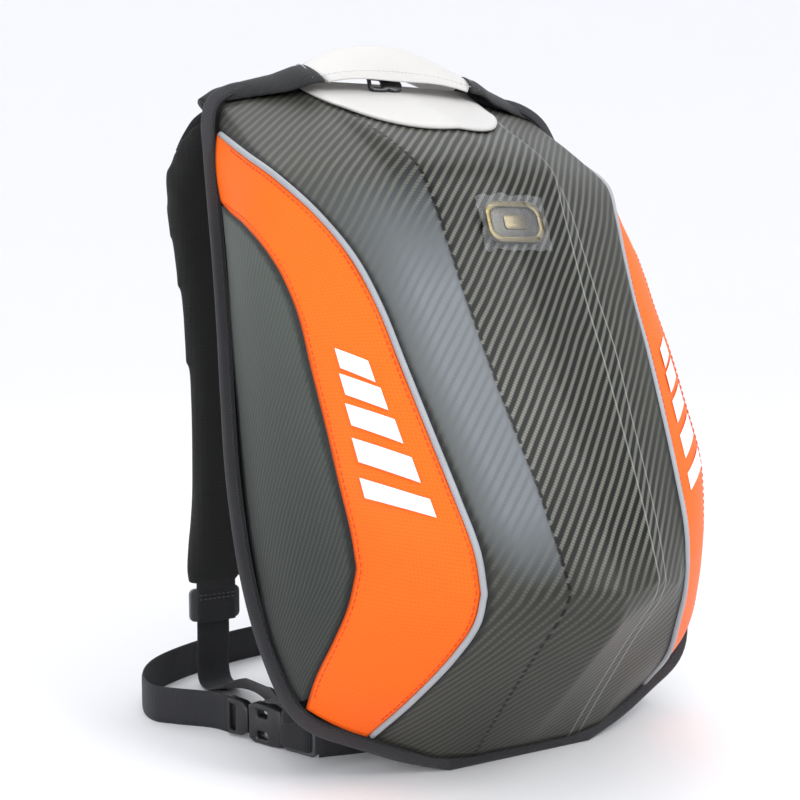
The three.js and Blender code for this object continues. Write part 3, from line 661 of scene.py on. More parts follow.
def stitch_tree():
    tree, start, curve = open_tree("stitches", {"Pitch": 0.004, "Length": 0.002, "Radius": 0.0004})
    spaced = add_node(tree, "GeometryNodeResampleCurve", {"Curve": curve, "Length": start["Pitch"]},
                      mode="LENGTH")
    stitch = add_node(tree, "GeometryNodeMeshCylinder",
                      {"Vertices": 6, "Radius": start["Radius"], "Depth": start["Length"]})
    tangent = add_node(tree, "GeometryNodeInputTangent").outputs[0]
    turned = add_node(tree, "FunctionNodeAlignRotationToVector", {"Vector": tangent}, axis="Z")
    placed = add_node(tree, "GeometryNodeInstanceOnPoints", {
        "Points": spaced.outputs[0], "Instance": stitch.outputs["Mesh"], "Rotation": turned.outputs[0]})
    return close_tree(tree, start, placed.outputs[0])


def thread_tree():
    tree, start, curve = open_tree("thread_line", {"Radius": 0.0004})
    circle = add_node(tree, "GeometryNodeCurvePrimitiveCircle", {"Resolution": 5, "Radius": start["Radius"]})
    tube = add_node(tree, "GeometryNodeCurveToMesh", {
        "Curve": curve, "Profile Curve": circle.outputs[0], "Fill Caps": True})
    return close_tree(tree, start, tube.outputs[0])


STITCHES = stitch_tree()
THREAD = thread_tree()


def sewn(name, lines, tree, material, **sizes):
    """Lines of places in the room, each sewn with the tree. sizes are in mm."""
    vertices, edges = [], []
    for line in lines:
        edges += [(len(vertices) + i, len(vertices) + i + 1) for i in range(len(line) - 1)]
        vertices += [tuple(p) for p in line]
    mesh = bpy.data.meshes.new(name)
    mesh.from_pydata(vertices, edges, [])
    made = new_object(name, mesh)
    modifier = made.modifiers.new("sewn", "NODES")
    modifier.node_group = tree
    for item in tree.interface.items_tree:
        if item.in_out == "INPUT" and item.name in sizes:
            modifier[item.identifier] = sizes[item.name] / 1000
        if item.in_out == "INPUT" and item.name == "Finish":
            modifier[item.identifier] = material
    bpy.context.view_layer.update()
    made = settle(made)
    if not made.data.materials:
        made.data.materials.append(material)
    return made


# %% [markdown]
# The shell is described by half sections, from its lower edge up to its top. Each section has seven
# points, and a smooth curve runs through the same point of all sections, with one sharp break at the
# deepest row, where the hump ends and the underside begins. The numbers are shares of half the width, of
# the depth and of the height.

# %% Sections of the shell
HALF_WIDTH, SHELL_DEPTH, BAG_HEIGHT = 165.0, 142.0, 468.0
SECTIONS = np.array([
    [[0, 0.021, 0.011], [0.218, 0.021, 0.011], [0.265, 0.021, 0.013], [0.376, 0.021, 0.019],
     [0.618, 0.021, 0.06], [0.842, 0.021, 0.109], [0.855, 0.021, 0.113]],
    [[0, 0.331, 0.049], [0.209, 0.338, 0.066], [0.255, 0.336, 0.069], [0.364, 0.331, 0.075],
     [0.564, 0.338, 0.092], [0.842, 0.169, 0.141], [0.885, 0.021, 0.135]],
    [[0, 0.62, 0.088], [0.2, 0.634, 0.115], [0.246, 0.621, 0.117], [0.355, 0.592, 0.122],
     [0.485, 0.577, 0.13], [0.806, 0.317, 0.179], [0.909, 0.021, 0.165]],
    [[0, 0.915, 0.13], [0.193, 0.88, 0.154], [0.239, 0.851, 0.154], [0.345, 0.782, 0.156],
     [0.442, 0.725, 0.162], [0.776, 0.423, 0.212], [0.93, 0.021, 0.199]],
    [[0, 0.993, 0.16], [0.188, 0.951, 0.173], [0.234, 0.921, 0.172], [0.342, 0.852, 0.171],
     [0.43, 0.796, 0.192], [0.758, 0.521, 0.252], [0.942, 0.021, 0.237]],
    [[0, 0.972, 0.214], [0.194, 0.951, 0.222], [0.252, 0.922, 0.225], [0.388, 0.856, 0.231],
     [0.442, 0.831, 0.239], [0.77, 0.556, 0.293], [0.945, 0.021, 0.28]],
    [[0, 0.944, 0.299], [0.209, 0.93, 0.303], [0.274, 0.901, 0.303], [0.424, 0.835, 0.303],
     [0.467, 0.817, 0.303], [0.788, 0.577, 0.346], [0.945, 0.021, 0.34]],
    [[0, 0.908, 0.385], [0.23, 0.887, 0.389], [0.3, 0.862, 0.39], [0.464, 0.803, 0.393],
     [0.503, 0.782, 0.395], [0.794, 0.563, 0.427], [0.93, 0.021, 0.427]],
    [[0, 0.866, 0.483], [0.248, 0.845, 0.483], [0.327, 0.822, 0.482], [0.509, 0.768, 0.481],
     [0.533, 0.746, 0.479], [0.8, 0.542, 0.504], [0.912, 0.021, 0.502]],
    [[0, 0.845, 0.56], [0.261, 0.81, 0.56], [0.327, 0.792, 0.56], [0.536, 0.732, 0.56],
     [0.558, 0.704, 0.56], [0.8, 0.514, 0.573], [0.897, 0.021, 0.568]],
    [[0, 0.831, 0.632], [0.273, 0.789, 0.632], [0.333, 0.761, 0.632], [0.576, 0.683, 0.632],
     [0.6, 0.655, 0.632], [0.818, 0.472, 0.632], [0.879, 0.021, 0.632]],
    [[0, 0.817, 0.697], [0.285, 0.768, 0.697], [0.352, 0.711, 0.697], [0.648, 0.599, 0.703],
     [0.673, 0.57, 0.705], [0.842, 0.408, 0.679], [0.861, 0.021, 0.688]],
    [[0, 0.789, 0.752], [0.303, 0.739, 0.752], [0.37, 0.634, 0.752], [0.733, 0.479, 0.771],
     [0.758, 0.451, 0.774], [0.855, 0.268, 0.733], [0.848, 0.021, 0.735]],
    [[0, 0.437, 0.88], [0.339, 0.408, 0.872], [0.388, 0.38, 0.861], [0.764, 0.303, 0.84],
     [0.794, 0.282, 0.831], [0.848, 0.141, 0.765], [0.841, 0.021, 0.769]],
    [[0, 0.021, 0.992], [0.364, 0.021, 0.99], [0.448, 0.021, 0.986], [0.758, 0.021, 0.951],
     [0.8, 0.021, 0.908], [0.836, 0.021, 0.799], [0.836, 0.021, 0.803]],
]) * [HALF_WIDTH, -SHELL_DEPTH, BAG_HEIGHT]
TOP_ROW = len(SECTIONS) - 1
BREAK_ROW = 4
PIPING_SEAM, SIDE_SEAM, EDGE_SEAM = 4, 5, 6
CROWNS = {PIPING_SEAM: 0.05, SIDE_SEAM: 0.09}


def seam_point(seam, row):
    row = min(max(row, 0), TOP_ROW)
    if row <= BREAK_ROW:
        return spline_point(SECTIONS[:BREAK_ROW + 1, seam], row / BREAK_ROW)
    return spline_point(SECTIONS[BREAK_ROW:, seam], (row - BREAK_ROW) / (TOP_ROW - BREAK_ROW))


def section_line(row):
    """Where all seams are at a row, and how they climb there."""
    at = np.array([seam_point(seam, row) for seam in range(7)])
    climb = np.array([seam_point(seam, row + 0.2) - seam_point(seam, row - 0.2) for seam in range(7)])
    return at, climb


def surface(line, seam):
    """A point at a place between the seams: 0 is the keel and 6 the taped edge, negative on the left."""
    at, climb = line
    if seam < 0:
        return surface(line, -seam) * [-1, 1, 1]
    first = min(int(seam), EDGE_SEAM - 1)
    share = seam - first
    across = at[first + 1] - at[first]
    point = at[first] + across * share
    crown = CROWNS.get(first, 0)
    if crown:
        outwards = np.cross(across, climb[first])
        outwards /= max(np.linalg.norm(outwards), 1e-6)
        point = point + outwards * crown * np.linalg.norm(across) * 4 * share * (1 - share)
    return point


def facing(line, first, last, climbing):
    """The way that the surface faces between two seams, from their places and one seam's climb."""
    at, climb = line
    direction = np.cross(at[last] - at[first], climb[climbing])
    return direction / np.linalg.norm(direction)


print("sections:", SECTIONS.shape)

# %% [markdown]
# Each panel is a fine grid of that surface. The grid is smoothed a little, so its creases are as round as
# pressed sheet is, and gets a slight unevenness, because a real moulded shell is never perfectly true.

# %% Shell panels
ROWS = np.unique(np.concatenate([np.linspace(0, BREAK_ROW, 40), np.linspace(BREAK_ROW, TOP_ROW, 100)]))
SHELL_WALL = 2.0
UNEVENNESS, NOISE_SIZE = 0.5, 45.0
LEFT_RIDGE, RIGHT_RIDGE, RIGHT_LIP = -1, 1, 1.95
FAR = 9.0


def panel_grid(seams, rows=ROWS, trim=(0.0, 0.0), smoothing=1):
    points = np.array([[surface(line, seam) for seam in seams] for line in map(section_line, rows)])
    for column, beside, distance in ((0, 1, trim[0]), (-1, -2, trim[1])):
        step = points[:, beside] - points[:, column]
        length = np.maximum(np.linalg.norm(step, axis=1, keepdims=True), 1e-6)
        points[:, column] += step / length * np.minimum(distance, length * 0.8)
    for _ in range(smoothing):
        inner = (points[:, :-2] + 2 * points[:, 1:-1] + points[:, 2:]) / 4
        points[:, 1:-1] = inner
        points[1:-1] = (points[:-2] + 2 * points[1:-1] + points[2:]) / 4
    return points


def measured(points, middle):
    """Lengths across and along the cloth in mm, and the distance to the nearer side."""
    rows, columns = points.shape[:2]
    steps = np.linalg.norm(np.diff(points, axis=1), axis=2)
    across = np.concatenate([np.zeros((rows, 1)), np.cumsum(steps, axis=1)], 1)
    across_from_middle = across - across[:, middle:middle + 1]
    spine = points[:, middle]
    along = run_length(spine)
    edge = np.minimum(across, across[:, -1:] - across)
    return np.stack([across_from_middle, np.broadcast_to(along[:, None], (rows, columns)), edge], 2)


def uneven(points, amount, size):
    """Moves points in and out by a slow noise."""
    shape = points.shape
    flat = points.reshape(-1, 3)
    lift = np.array([noise.noise(Vector(p / size)) for p in flat]) * amount
    flat = flat + np.outer(lift, [0, -1, 0.2])
    return flat.reshape(shape)


def make_panel(name, seams, trim, material, slot, node, middle, rows=ROWS, straight=False):
    """straight: the weave runs straight over the whole panel, by width and height, not along its seams."""
    points = uneven(panel_grid(seams, rows, trim), UNEVENNESS, NOISE_SIZE)
    values = measured(points, middle)

    def from_seam(place):
        column = int(np.argmin(np.abs(seams - place)))
        return np.abs(values[:, :, 0] - values[:, [column], 0])

    # These distances place the painted shade along the left ridge and the painted highlight along the right
    # ridge and the right lip.
    no_crease = FAR * (min(np.abs(seams)) > 1)
    ridge = from_seam(LEFT_RIDGE) + no_crease
    line = np.minimum(from_seam(RIGHT_RIDGE), from_seam(RIGHT_LIP)) + no_crease
    if straight:
        keel = np.array([seam_point(0, row) for row in ROWS])
        values[:, :, 0] = points[:, :, 0]
        values[:, :, 1] = np.interp(points[:, :, 2], keel[:, 2], run_length(keel))
    made = grid_mesh(name, leaned_grid(points), values, material)
    zone = np.clip((3.1 - np.abs(seams)) / 1.3, 0, 1) * np.where(seams < LEFT_RIDGE, 0.8, 1)
    fade = (np.clip((rows - BREAK_ROW + 0.4) / 1.6, 0, 1)
            * np.clip((TOP_ROW + 0.4 - rows) / 3.2, 0.1, 1))
    # Painted reflection: a band of the left flank, beside the left ridge and over the middle rows, is marked
    # here for the lighter painted tone of the film.
    reflection_band = np.clip(-seams - 1, 0, 0.2) * 5 * np.clip(3.4 + seams, 0, 1)
    reflection_rows = np.clip((rows - 4.2) / 1.5, 0, 1) * np.clip((12.2 - rows) / 3, 0, 1)
    point_values(made.data, "painted_reflection", "FLOAT", reflection_band[None, :] * reflection_rows[:, None])
    point_values(made.data, "crease", "FLOAT_VECTOR",
                 np.stack([zone[None, :] * fade[:, None], ridge, line], 2))
    return finished(outward(thicken(made, SHELL_WALL)), slot, node)


half = np.concatenate([np.linspace(0, 1, 15), np.linspace(1, 2, 7)[1:], np.linspace(2, 3, 13)[1:],
                       np.linspace(3, 4, 8)[1:]])
centre_seams = np.concatenate([-half[:0:-1], half])
make_panel("moulded_centre", centre_seams, (1.3, 1.3), CARBON, "carbon_shell", "shell_centre", len(half) - 1,
           straight=True)
for word, side in (("left", -1), ("right", 1)):
    seams = np.linspace(4, 5, 18) if side > 0 else -np.linspace(4, 5, 18)[::-1]
    trims = (1.3, 0.1) if side > 0 else (0.1, 1.3)
    make_panel(f"orange_side_{word}", seams, trims, ORANGE, "orange_panel", f"side_panel_{word}", 9)
    seams = np.linspace(5, 6, 16) if side > 0 else -np.linspace(5, 6, 16)[::-1]
    make_panel(f"gusset_{word}", seams, (0.1, 0), GUSSET, "carbon_shell", f"side_gusset_{word}", 8,
               rows=ROWS[(ROWS >= 0.3) & (ROWS <= TOP_ROW - 0.3)])

# %% [markdown]
# The piping is a cord covered in grey cloth, sewn between the centre and the orange panels. A round
# section swept along the seam is all that it needs.

# %% Piping
PIPING_ROWS = np.linspace(0.06, TOP_ROW - 0.12, 150)
for word, side in (("left", -1), ("right", 1)):
    seam_line = np.array([surface(section_line(row), PIPING_SEAM * side) for row in PIPING_ROWS])
    cord = swept(f"piped_cord_{word}", seam_line, (0, 0, 1), 3.9, 3.9, PIPING, leaned, ROUND_SECTION)
    finished(cord, "grey_piping", f"piping_{word}")

# %% [markdown]
# A strong tape is folded round the whole rim and sewn through with a zigzag. The outline is a smooth
# curve, and the section is a folded band with round corners.

# %% Edge tape
TAPE_OUTLINE = np.array([
    [0.315, 0], [0.5, 0.022], [0.667, 0.049], [0.824, 0.077], [0.891, 0.1], [0.93, 0.128], [0.976, 0.197],
    [1, 0.28], [0.994, 0.406], [0.964, 0.517], [0.933, 0.615], [0.909, 0.701], [0.885, 0.806],
    [0.867, 0.882], [0.852, 0.93], [0.81, 0.965], [0.7, 0.99], [0.45, 1]]) * [HALF_WIDTH, BAG_HEIGHT]
TAPE_WIDTH, TAPE_THICK = 9.0, 4.0


def outline(inset, y, count=220):
    """The rim's line pulled in by a distance, at a depth, evenly spaced and closed."""
    flat = np.concatenate([TAPE_OUTLINE, (TAPE_OUTLINE * [-1, 1])[::-1]])
    ring = np.insert(flat, 1, y, axis=1)
    right = along_path(ring[:len(TAPE_OUTLINE)], count // 2)
    loop = np.concatenate([right, (right * [-1, 1, 1])[::-1]])
    step = np.roll(loop, -1, axis=0) - np.roll(loop, 1, axis=0)
    step /= np.linalg.norm(step, axis=1, keepdims=True)
    loop = loop + np.stack([-step[:, 2], np.zeros(len(loop)), step[:, 0]], 1) * inset
    loop[:, 1] = y
    return loop


def dense_loop(loop, count):
    """A closed line with evenly spaced points."""
    ring = np.concatenate([loop, loop[:1]])
    length = run_length(ring)
    wanted = np.linspace(0, length[-1], count, endpoint=False)
    return np.stack([np.interp(wanted, length, ring[:, axis]) for axis in range(3)], 1)


def edge_tape():
    section = []
    for x, t in band_section(0.45, 6, 4):
        section.append((TAPE_WIDTH / 2 * (1 - x), t * TAPE_THICK / 2))
    loops = [outline(inset, y) for inset, y in section]
    points = np.stack(loops, 1)
    points[:, :, 2] = np.maximum(points[:, :, 2], points[:, :, 1] * math.tan(LEAN) + 0.02)
    around = np.linspace(0, 2 * TAPE_WIDTH, len(section))
    values = np.zeros(points.shape)
    values[:, :, 0] = around[None, :]
    values[:, :, 1] = run_length(loops[0])[:, None]
    made = grid_mesh("folded_tape", leaned_grid(points), values, TAPE,
                     closed_rows=True, closed_columns=True)
    return finished(outward(made), "rim_tape", "edge_binding")


edge_tape()
front = -TAPE_THICK / 2 - 0.1
inner, outer = dense_loop(outline(6.6, front), 620), dense_loop(outline(5.5, front), 620)
zigzag = np.where((np.arange(620) % 2 == 0)[:, None], inner, outer)
finished(sewn("tape_zigzag", [leaned(zigzag)], THREAD, TAPE_THREAD, Radius=0.3), "rim_tape")
finished(sewn("tape_edge_line", [leaned(dense_loop(outline(8.3, front), 400))], THREAD, BLACK_THREAD,
              Radius=0.4), "rim_tape")

# %% [markdown]
# Both long sides of each orange panel are topstitched in a red thread, a few millimetres inside the seam.
# The stitch tree needs only the line.

# %% Panel stitches
STITCH_LIFT = 0.35


def beside_seam(seam, towards, distance, rows, side):
    line = []
    for row in rows:
        section = section_line(row)
        start, other = surface(section, seam), surface(section, seam + (0.3 if towards > 0 else -0.3))
        step = (other - start) / max(np.linalg.norm(other - start), 1e-6)
        point = start + step * distance + facing(section, PIPING_SEAM, SIDE_SEAM, PIPING_SEAM) * STITCH_LIFT
        line.append(point * [side, 1, 1])
    return leaned(line)


seam_rows = np.linspace(0.5, TOP_ROW - 0.55, 180)
for word, side in (("left", -1), ("right", 1)):
    lines = [beside_seam(4, 1, 4.4, seam_rows, side), beside_seam(5, -1, 3.0, seam_rows, side)]
    finished(sewn(f"panel_stitches_{word}", lines, STITCHES, RED_THREAD, Pitch=4.3, Length=2.5, Radius=0.32),
             "orange_panel")

# %% [markdown]
# The print on the panels is a plain row of five slanting white bars, each shorter than the one before.
# Each bar is a thin patch that follows the panel's surface.

# %% Printed bars
PRINT_LIFT, BAR_STEPS = 0.75, 26
BAR_SEAM, BAR_SLANT, BAR_WIDTH = 4.52, 0.12, 0.36
BARS = [(5.9, 0.56), (6.5, 0.50), (7.05, 0.44), (7.55, 0.38), (8.0, 0.32)]


def printed_bar(start, end, width, side):
    """A slanting bar from one place to another, each given as (seam, row)."""
    rows = []
    for step in range(BAR_STEPS + 1):
        share = step / BAR_STEPS
        seam, row = start[0] + (end[0] - start[0]) * share, start[1] + (end[1] - start[1]) * share
        line = []
        for part in np.linspace(-0.5, 0.5, 7):
            section = section_line(row + part * width)
            point = surface(section, seam) + facing(section, PIPING_SEAM, SIDE_SEAM, PIPING_SEAM) * PRINT_LIFT
            line.append(point * [side, 1, 1])
        rows.append(line)
    return np.array(rows)


for word, side in (("left", -1), ("right", 1)):
    parts = []
    for middle_row, reach in BARS:
        points = printed_bar((BAR_SEAM - reach / 2, middle_row - BAR_SLANT),
                             (BAR_SEAM + reach / 2, middle_row + BAR_SLANT), BAR_WIDTH, side)
        bar = grid_mesh("bar", leaned_grid(points), np.zeros(points.shape), PRINT)
        parts.append(thicken(bar, 0.3, 0.0))
    with bpy.context.temp_override(active_object=parts[0], selected_editable_objects=parts):
        bpy.ops.object.join()
    parts[0].name = f"printed_bars_{word}"
    finished(outward(parts[0]), "orange_panel")

# %% [markdown]
# The white top patch is a soft leather tongue that lies on the shell and turns over the rim to the back.
# Its free edge is a smooth arc, so each column of the grid starts at its own row.

# %% Top patch
PATCH_HALF, PATCH_REACH, PATCH_LIFT = 69.0, 1.36, 1.5
patch_shares = np.sin(np.linspace(-1, 1, 45) * math.pi / 2)
TOP_RIDGE, TOP_LIP = SECTIONS[TOP_ROW, 1, 0], SECTIONS[TOP_ROW, 2, 0]


def patch_point(across, share):
    x = abs(across) * PATCH_HALF
    seam = x / TOP_RIDGE if x < TOP_RIDGE else 1 + (x - TOP_RIDGE) / (TOP_LIP - TOP_RIDGE)
    reach = PATCH_REACH * max(1 - abs(across) ** 2.6, 0) ** 0.5
    section = section_line(TOP_ROW - reach * (1 - share))
    point = surface(section, seam) + facing(section, 0, 2, 1) * PATCH_LIFT
    return point * [1 if across >= 0 else -1, 1, 1]


def top_patch():
    rows = [[patch_point(across, share) for across in patch_shares] for share in np.linspace(0, 1, 18)]
    last = np.array(rows[-1])
    for lift, back in ((2.8, 1.2), (4.0, 3.2), (4.2, 5.6), (3.2, 8.0), (0.5, 9.2), (-8.0, 9.6)):
        rows.append(last + [0, back, lift])
    points = np.array(rows)
    values = measured(points, len(patch_shares) // 2)
    made = grid_mesh("leather_tongue", leaned_grid(points), values, LEATHER)
    made = thicken(made, 1.6, 0.2)
    return finished(outward(made), "white_leather", "top_patch")


top_patch()

# %% [markdown]
# The carry handle is a wide leather band. It arches over the rim, and its front side curls down, so
# that the hand finds a soft edge. At each end it runs on into a black cloth yoke that turns to the back.

# %% Handle and yokes
HANDLE_HALF, HANDLE_WIDTH, HANDLE_THICK = 66.0, 42.0, 5.0
HANDLE_Y, HANDLE_RISE = -4.5, 22
YOKE_END, YOKE_OVERLAP = 134, 2.5


def handle_height(x):
    return BAG_HEIGHT + 0.35 + HANDLE_THICK / 2 + 1 + HANDLE_RISE * (1 - (x / HANDLE_HALF) ** 2)


def curl(share, s):
    """How far the front of the band curls down."""
    strength = 0.58 + 0.42 * math.sin(share * math.pi)
    return 35.0 * strength * max(0.0, s) ** 1.6 + 3.0 * max(0.0, -s) ** 2 - 3.0 * strength * (1 - s * s)


handle_x = np.linspace(HANDLE_HALF, -HANDLE_HALF, 40)
handle_path = [(x, HANDLE_Y, handle_height(x)) for x in handle_x]
band = swept("leather_handle", handle_path, (0, -1, 0), HANDLE_WIDTH, HANDLE_THICK, LEATHER, leaned,
             band_section(0.1, 17, 4), bend=lambda share, s: -curl(share, s))
finished(band, "white_leather", "carry_handle")
YOKE_ROWS = np.array([[0, 0, HANDLE_Y, 1], [0.1, 0.25, HANDLE_Y, 0.97], [0.3, 0.8, -1, 0.7],
                      [0.6, 1.25, 4, 0.42], [0.85, 1.75, 8, 0.3], [1, 2.6, 10, 0.26]])
for word, side in (("left", -1), ("right", 1)):
    start = HANDLE_HALF - YOKE_OVERLAP
    shares = np.linspace(0, 1, 30)
    drop, y, width = (np.interp(shares, YOKE_ROWS[:, 0], YOKE_ROWS[:, index]) for index in (1, 2, 3))
    path = [(side * (start + s * (YOKE_END - start)), b, handle_height(start) - 8 * d)
            for s, d, b in zip(shares, drop, y)]
    if side > 0:
        path, width = path[::-1], width[::-1]
    turned = 1 if side > 0 else 0
    yoke = swept(f"cloth_yoke_{word}", path, (0, -1, 0), width * HANDLE_WIDTH + 1.5, 6.8, CLOTH, leaned,
                 band_section(0.2, 11, 4),
                 bend=lambda share, s, t=turned: -curl(0, s) * (1 - 0.75 * abs(share - t)))
    finished(yoke, "black_cloth", f"yoke_{word}")
    seam = [(side * (start + YOKE_OVERLAP), HANDLE_Y - 20 * s, handle_height(start) + 3.5 - curl(0, s))
            for s in np.linspace(-0.95, 0.95, 30)]
    finished(sewn(f"yoke_stitches_{word}", [leaned(seam)], STITCHES, WHITE_THREAD, Pitch=3.4, Length=2.3,
                  Radius=0.35), "white_leather")
edges = [leaned([(x, HANDLE_Y - 21 * s,
                  handle_height(x) + 2.7 - curl((HANDLE_HALF - x) / (2 * HANDLE_HALF), s))
                 for x in handle_x]) for s in (-0.84, 0.9)]
finished(sewn("handle_stitches", edges, STITCHES, WHITE_THREAD, Pitch=3.6, Length=2.4, Radius=0.33),
         "white_leather")

# %% [markdown]
# The back of the pack is a flat cloth wall with a thick pad. The pad and the shoulder straps are filled
# with foam, so each is blown up a little by a cloth simulation, and then smoothed.

# %% Padding helper
VOXEL, PRESSURE, SWELLING_FRAMES = 5.0, 4.0, 15


def point_places(made):
    """The places of the piece's points, as rows."""
    places = np.zeros(len(made.data.vertices) * 3)
    made.data.vertices.foreach_get("co", places)
    return places.reshape(-1, 3)


def plumped(made, cap):
    """Remeshes the piece, swells it as cloth under pressure, and keeps each point within a cap in mm."""
    remesh = made.modifiers.new("remesh", "REMESH")
    remesh.mode = "VOXEL"
    remesh.voxel_size = VOXEL / 1000
    made = settle(made)
    before = point_places(made)
    cloth = made.modifiers.new("cloth", "CLOTH")
    cloth.settings.use_pressure = True
    cloth.settings.uniform_pressure_force = PRESSURE
    cloth.settings.effector_weights.gravity = 0
    scene = bpy.context.scene
    for frame_number in range(1, SWELLING_FRAMES + 1):
        scene.frame_set(frame_number)
    made = settle(made)
    move = point_places(made) - before
    length = np.maximum(np.linalg.norm(move, axis=1, keepdims=True), 1e-9)
    move *= np.minimum(1, cap / 1000 / length)
    made.data.vertices.foreach_set("co", (before + move).reshape(-1))
    scene.frame_set(1)
    smooth = made.modifiers.new("smooth", "SMOOTH")
    smooth.iterations = 4
    rounder = made.modifiers.new("rounder", "SUBSURF")
    rounder.levels = rounder.render_levels = 1
    return settle(made)


def cloth_measures(made):
    """Measures for a weave on a remeshed piece: its x and z, and then its y, in mm."""
    places = point_places(made) * 1000
    if "weave" in made.data.attributes:
        made.data.attributes.remove(made.data.attributes["weave"])
    point_values(made.data, "weave", "FLOAT_VECTOR", places[:, [0, 2, 1]])
    return made


# %% [markdown]
# The back wall is a closed thin slab inside the tape. The back pad, which the photo hides, is one plain
# panel with the outline of the pack, drawn in.

# %% Back
def slab(name, layers, material):
    loops = [outline(inset, y, 180) for inset, y in layers]
    points = np.stack(loops)
    values = np.zeros(points.shape)
    values[:, :, 0], values[:, :, 1] = points[:, :, 0], points[:, :, 2]
    return outward(grid_mesh(name, leaned_grid(points), values, material,
                             closed_columns=True, caps=True))


WALL_FRONT, WALL_REAR = 2.35, 5.35
wall_layers = [(3.6, WALL_FRONT), (3, WALL_FRONT + 0.5), (3, WALL_REAR - 0.5), (3.6, WALL_REAR)]
finished(slab("back_cloth", wall_layers, CLOTH), "black_cloth", "back_wall")
PAD_FRONT = WALL_REAR + 0.35
pad = slab("back_cushion", [(25, PAD_FRONT), (22, PAD_FRONT + 3), (22, PAD_FRONT + 15), (26, PAD_FRONT + 19),
                            (34, PAD_FRONT + 21)], PAD_CLOTH)
pad = cloth_measures(plumped(pad, 4.0))
finished(pad, "black_cloth", "back_pad")

# %% [markdown]
# Each shoulder strap is a curved foam pad with a webbing tab, a ladder buckle and a length of webbing that
# runs down to the floor, folds and comes back up behind the rim.

# %% Shoulder straps
GAP, BAND_THICK, LADDER_THICK = 0.35, 1.8, 4
STRAP_Y, STRAP_WIDTH, PAD_THICK = 222.0, 65, 10.0
PAD_ROWS = np.array([
    [-104, 200, 405, 0.5], [-115, 210, 385, 0.86], [-122, 216, 360, 1], [-120, 220, 330, 1],
    [-113, STRAP_Y, 280, 1], [-108, STRAP_Y, 220, 1], [-107, STRAP_Y, 170, 1], [-108, STRAP_Y, 120, 1],
    [-113, STRAP_Y, 96, 0.9], [-117, STRAP_Y, 82, 0.75], [-117, STRAP_Y, 74, 0.6]])
STRAP_FOLD = np.array([[-106, 186, 404], [-107, 198, 406], [-110, 208, 399], [-114, 213, 387],
                       [-118, 214, 374]])
CORNER_TAB = np.array([[-137, 56, 40], [-135, 44, 44], [-131, 32, 50], [-126, 27.5, 60]])
TAB_X, TAB_TOP, TAB_LENGTH, TAB_THICK = -117, 73.25, 26.0, 3
TAB_ROWS = np.array([[TAB_X, STRAP_Y, TAB_TOP + 5], [TAB_X, STRAP_Y, TAB_TOP - 10],
                     [TAB_X, STRAP_Y, TAB_TOP - TAB_LENGTH]])
LADDER_Y = STRAP_Y + TAB_THICK / 2 + GAP + LADDER_THICK / 2
LADDER_Z = TAB_TOP - TAB_LENGTH + 12
WEBBING_TOP_Y = LADDER_Y + LADDER_THICK / 2 + GAP + BAND_THICK / 2
LOWER_WEBBING = np.array([
    [TAB_X, WEBBING_TOP_Y, 62], [TAB_X, WEBBING_TOP_Y, 34], [-118, WEBBING_TOP_Y - 1, 12],
    [-118.5, WEBBING_TOP_Y - 7, 3.2], [-119, 208, 2.4], [-121, 190, 8], [-127, 130, 24.5], [-134, 66, 37],
    [-138, 50.5, 41.5]])
LADDER_HOLES = [rounded(27, 5.4, 1, (0, 5.3)), rounded(25, 5, 1, (0, -5.3))]
for word, side in (("left", -1), ("right", 1)):
    flip = np.array([-side, 1, 1])
    middle = along_path(PAD_ROWS[:, :3], 60) * flip
    widths = np.interp(middle[:, 2], PAD_ROWS[::-1, 2], PAD_ROWS[::-1, 3]) * STRAP_WIDTH
    shape = swept(f"strap_foam_{word}", middle, (1, 0, 0), widths - 2, PAD_THICK, PAD_CLOTH, standing,
                  band_section(0.14, 15, 4))
    shape = cloth_measures(plumped(shape, 3.0))
    finished(shape, "black_cloth", f"shoulder_pad_{word}")
    finished(swept(f"strap_fold_{word}", along_path(STRAP_FOLD * flip, 30), (1, 0, 0),
                   np.linspace(42, 56, 30), 3.4, CLOTH, standing), "black_cloth")
    finished(swept(f"corner_tab_{word}", along_path(CORNER_TAB * flip, 26), (1, 0, 0.2 * side),
                   np.linspace(27, 46, 26), 2.6, CLOTH, standing), "black_cloth")
    tab_x = TAB_X * -side
    across = [[(x, STRAP_Y - 1.9, z) for x in np.linspace(tab_x - 12, tab_x + 12, 12)]
              for z in (TAB_TOP - 6, TAB_TOP - 9)]
    finished(sewn(f"tab_stitches_{word}", [standing(row) for row in across], STITCHES, GREY_THREAD, Pitch=3,
                  Length=2, Radius=0.35), "black_webbing")
    tab = swept(f"sewn_tab_{word}", along_path(TAB_ROWS * flip, 14), (1, 0, 0), 30, TAB_THICK, WEBBING,
                standing)
    finished(tab, "black_webbing", f"pad_tab_{word}")
    turn = np.clip((np.linspace(0, 1, 90) - 0.42) / 0.3, 0, 1)[:, None]
    sides = np.array([1, 0, 0]) * (1 - turn) + np.array([0.5, -0.2 * side, 0.62 * side]) * turn
    web = swept(f"folded_webbing_{word}", along_path(LOWER_WEBBING * flip, 90), sides, 25, BAND_THICK,
                WEBBING, standing)
    finished(web, "black_webbing", f"lower_webbing_{word}")
    seat = frame_matrix(standing([tab_x, LADDER_Y, LADDER_Z])[0], (1, 0, 0), (0, 0, 1))
    ladder = plate(f"ladder_lock_{word}", rounded(38, 24, 4), LADDER_HOLES, LADDER_THICK, 0.9, seat,
                   GREY_PLASTIC)
    finished(ladder, "black_plastic", f"strap_buckle_{word}")

# %% [markdown]
# The waist belt stands on its edge on the floor in a closed loop. On the left it meets its fittings: a
# slider with the webbing wrapped round its bar, and a side release buckle in two halves.

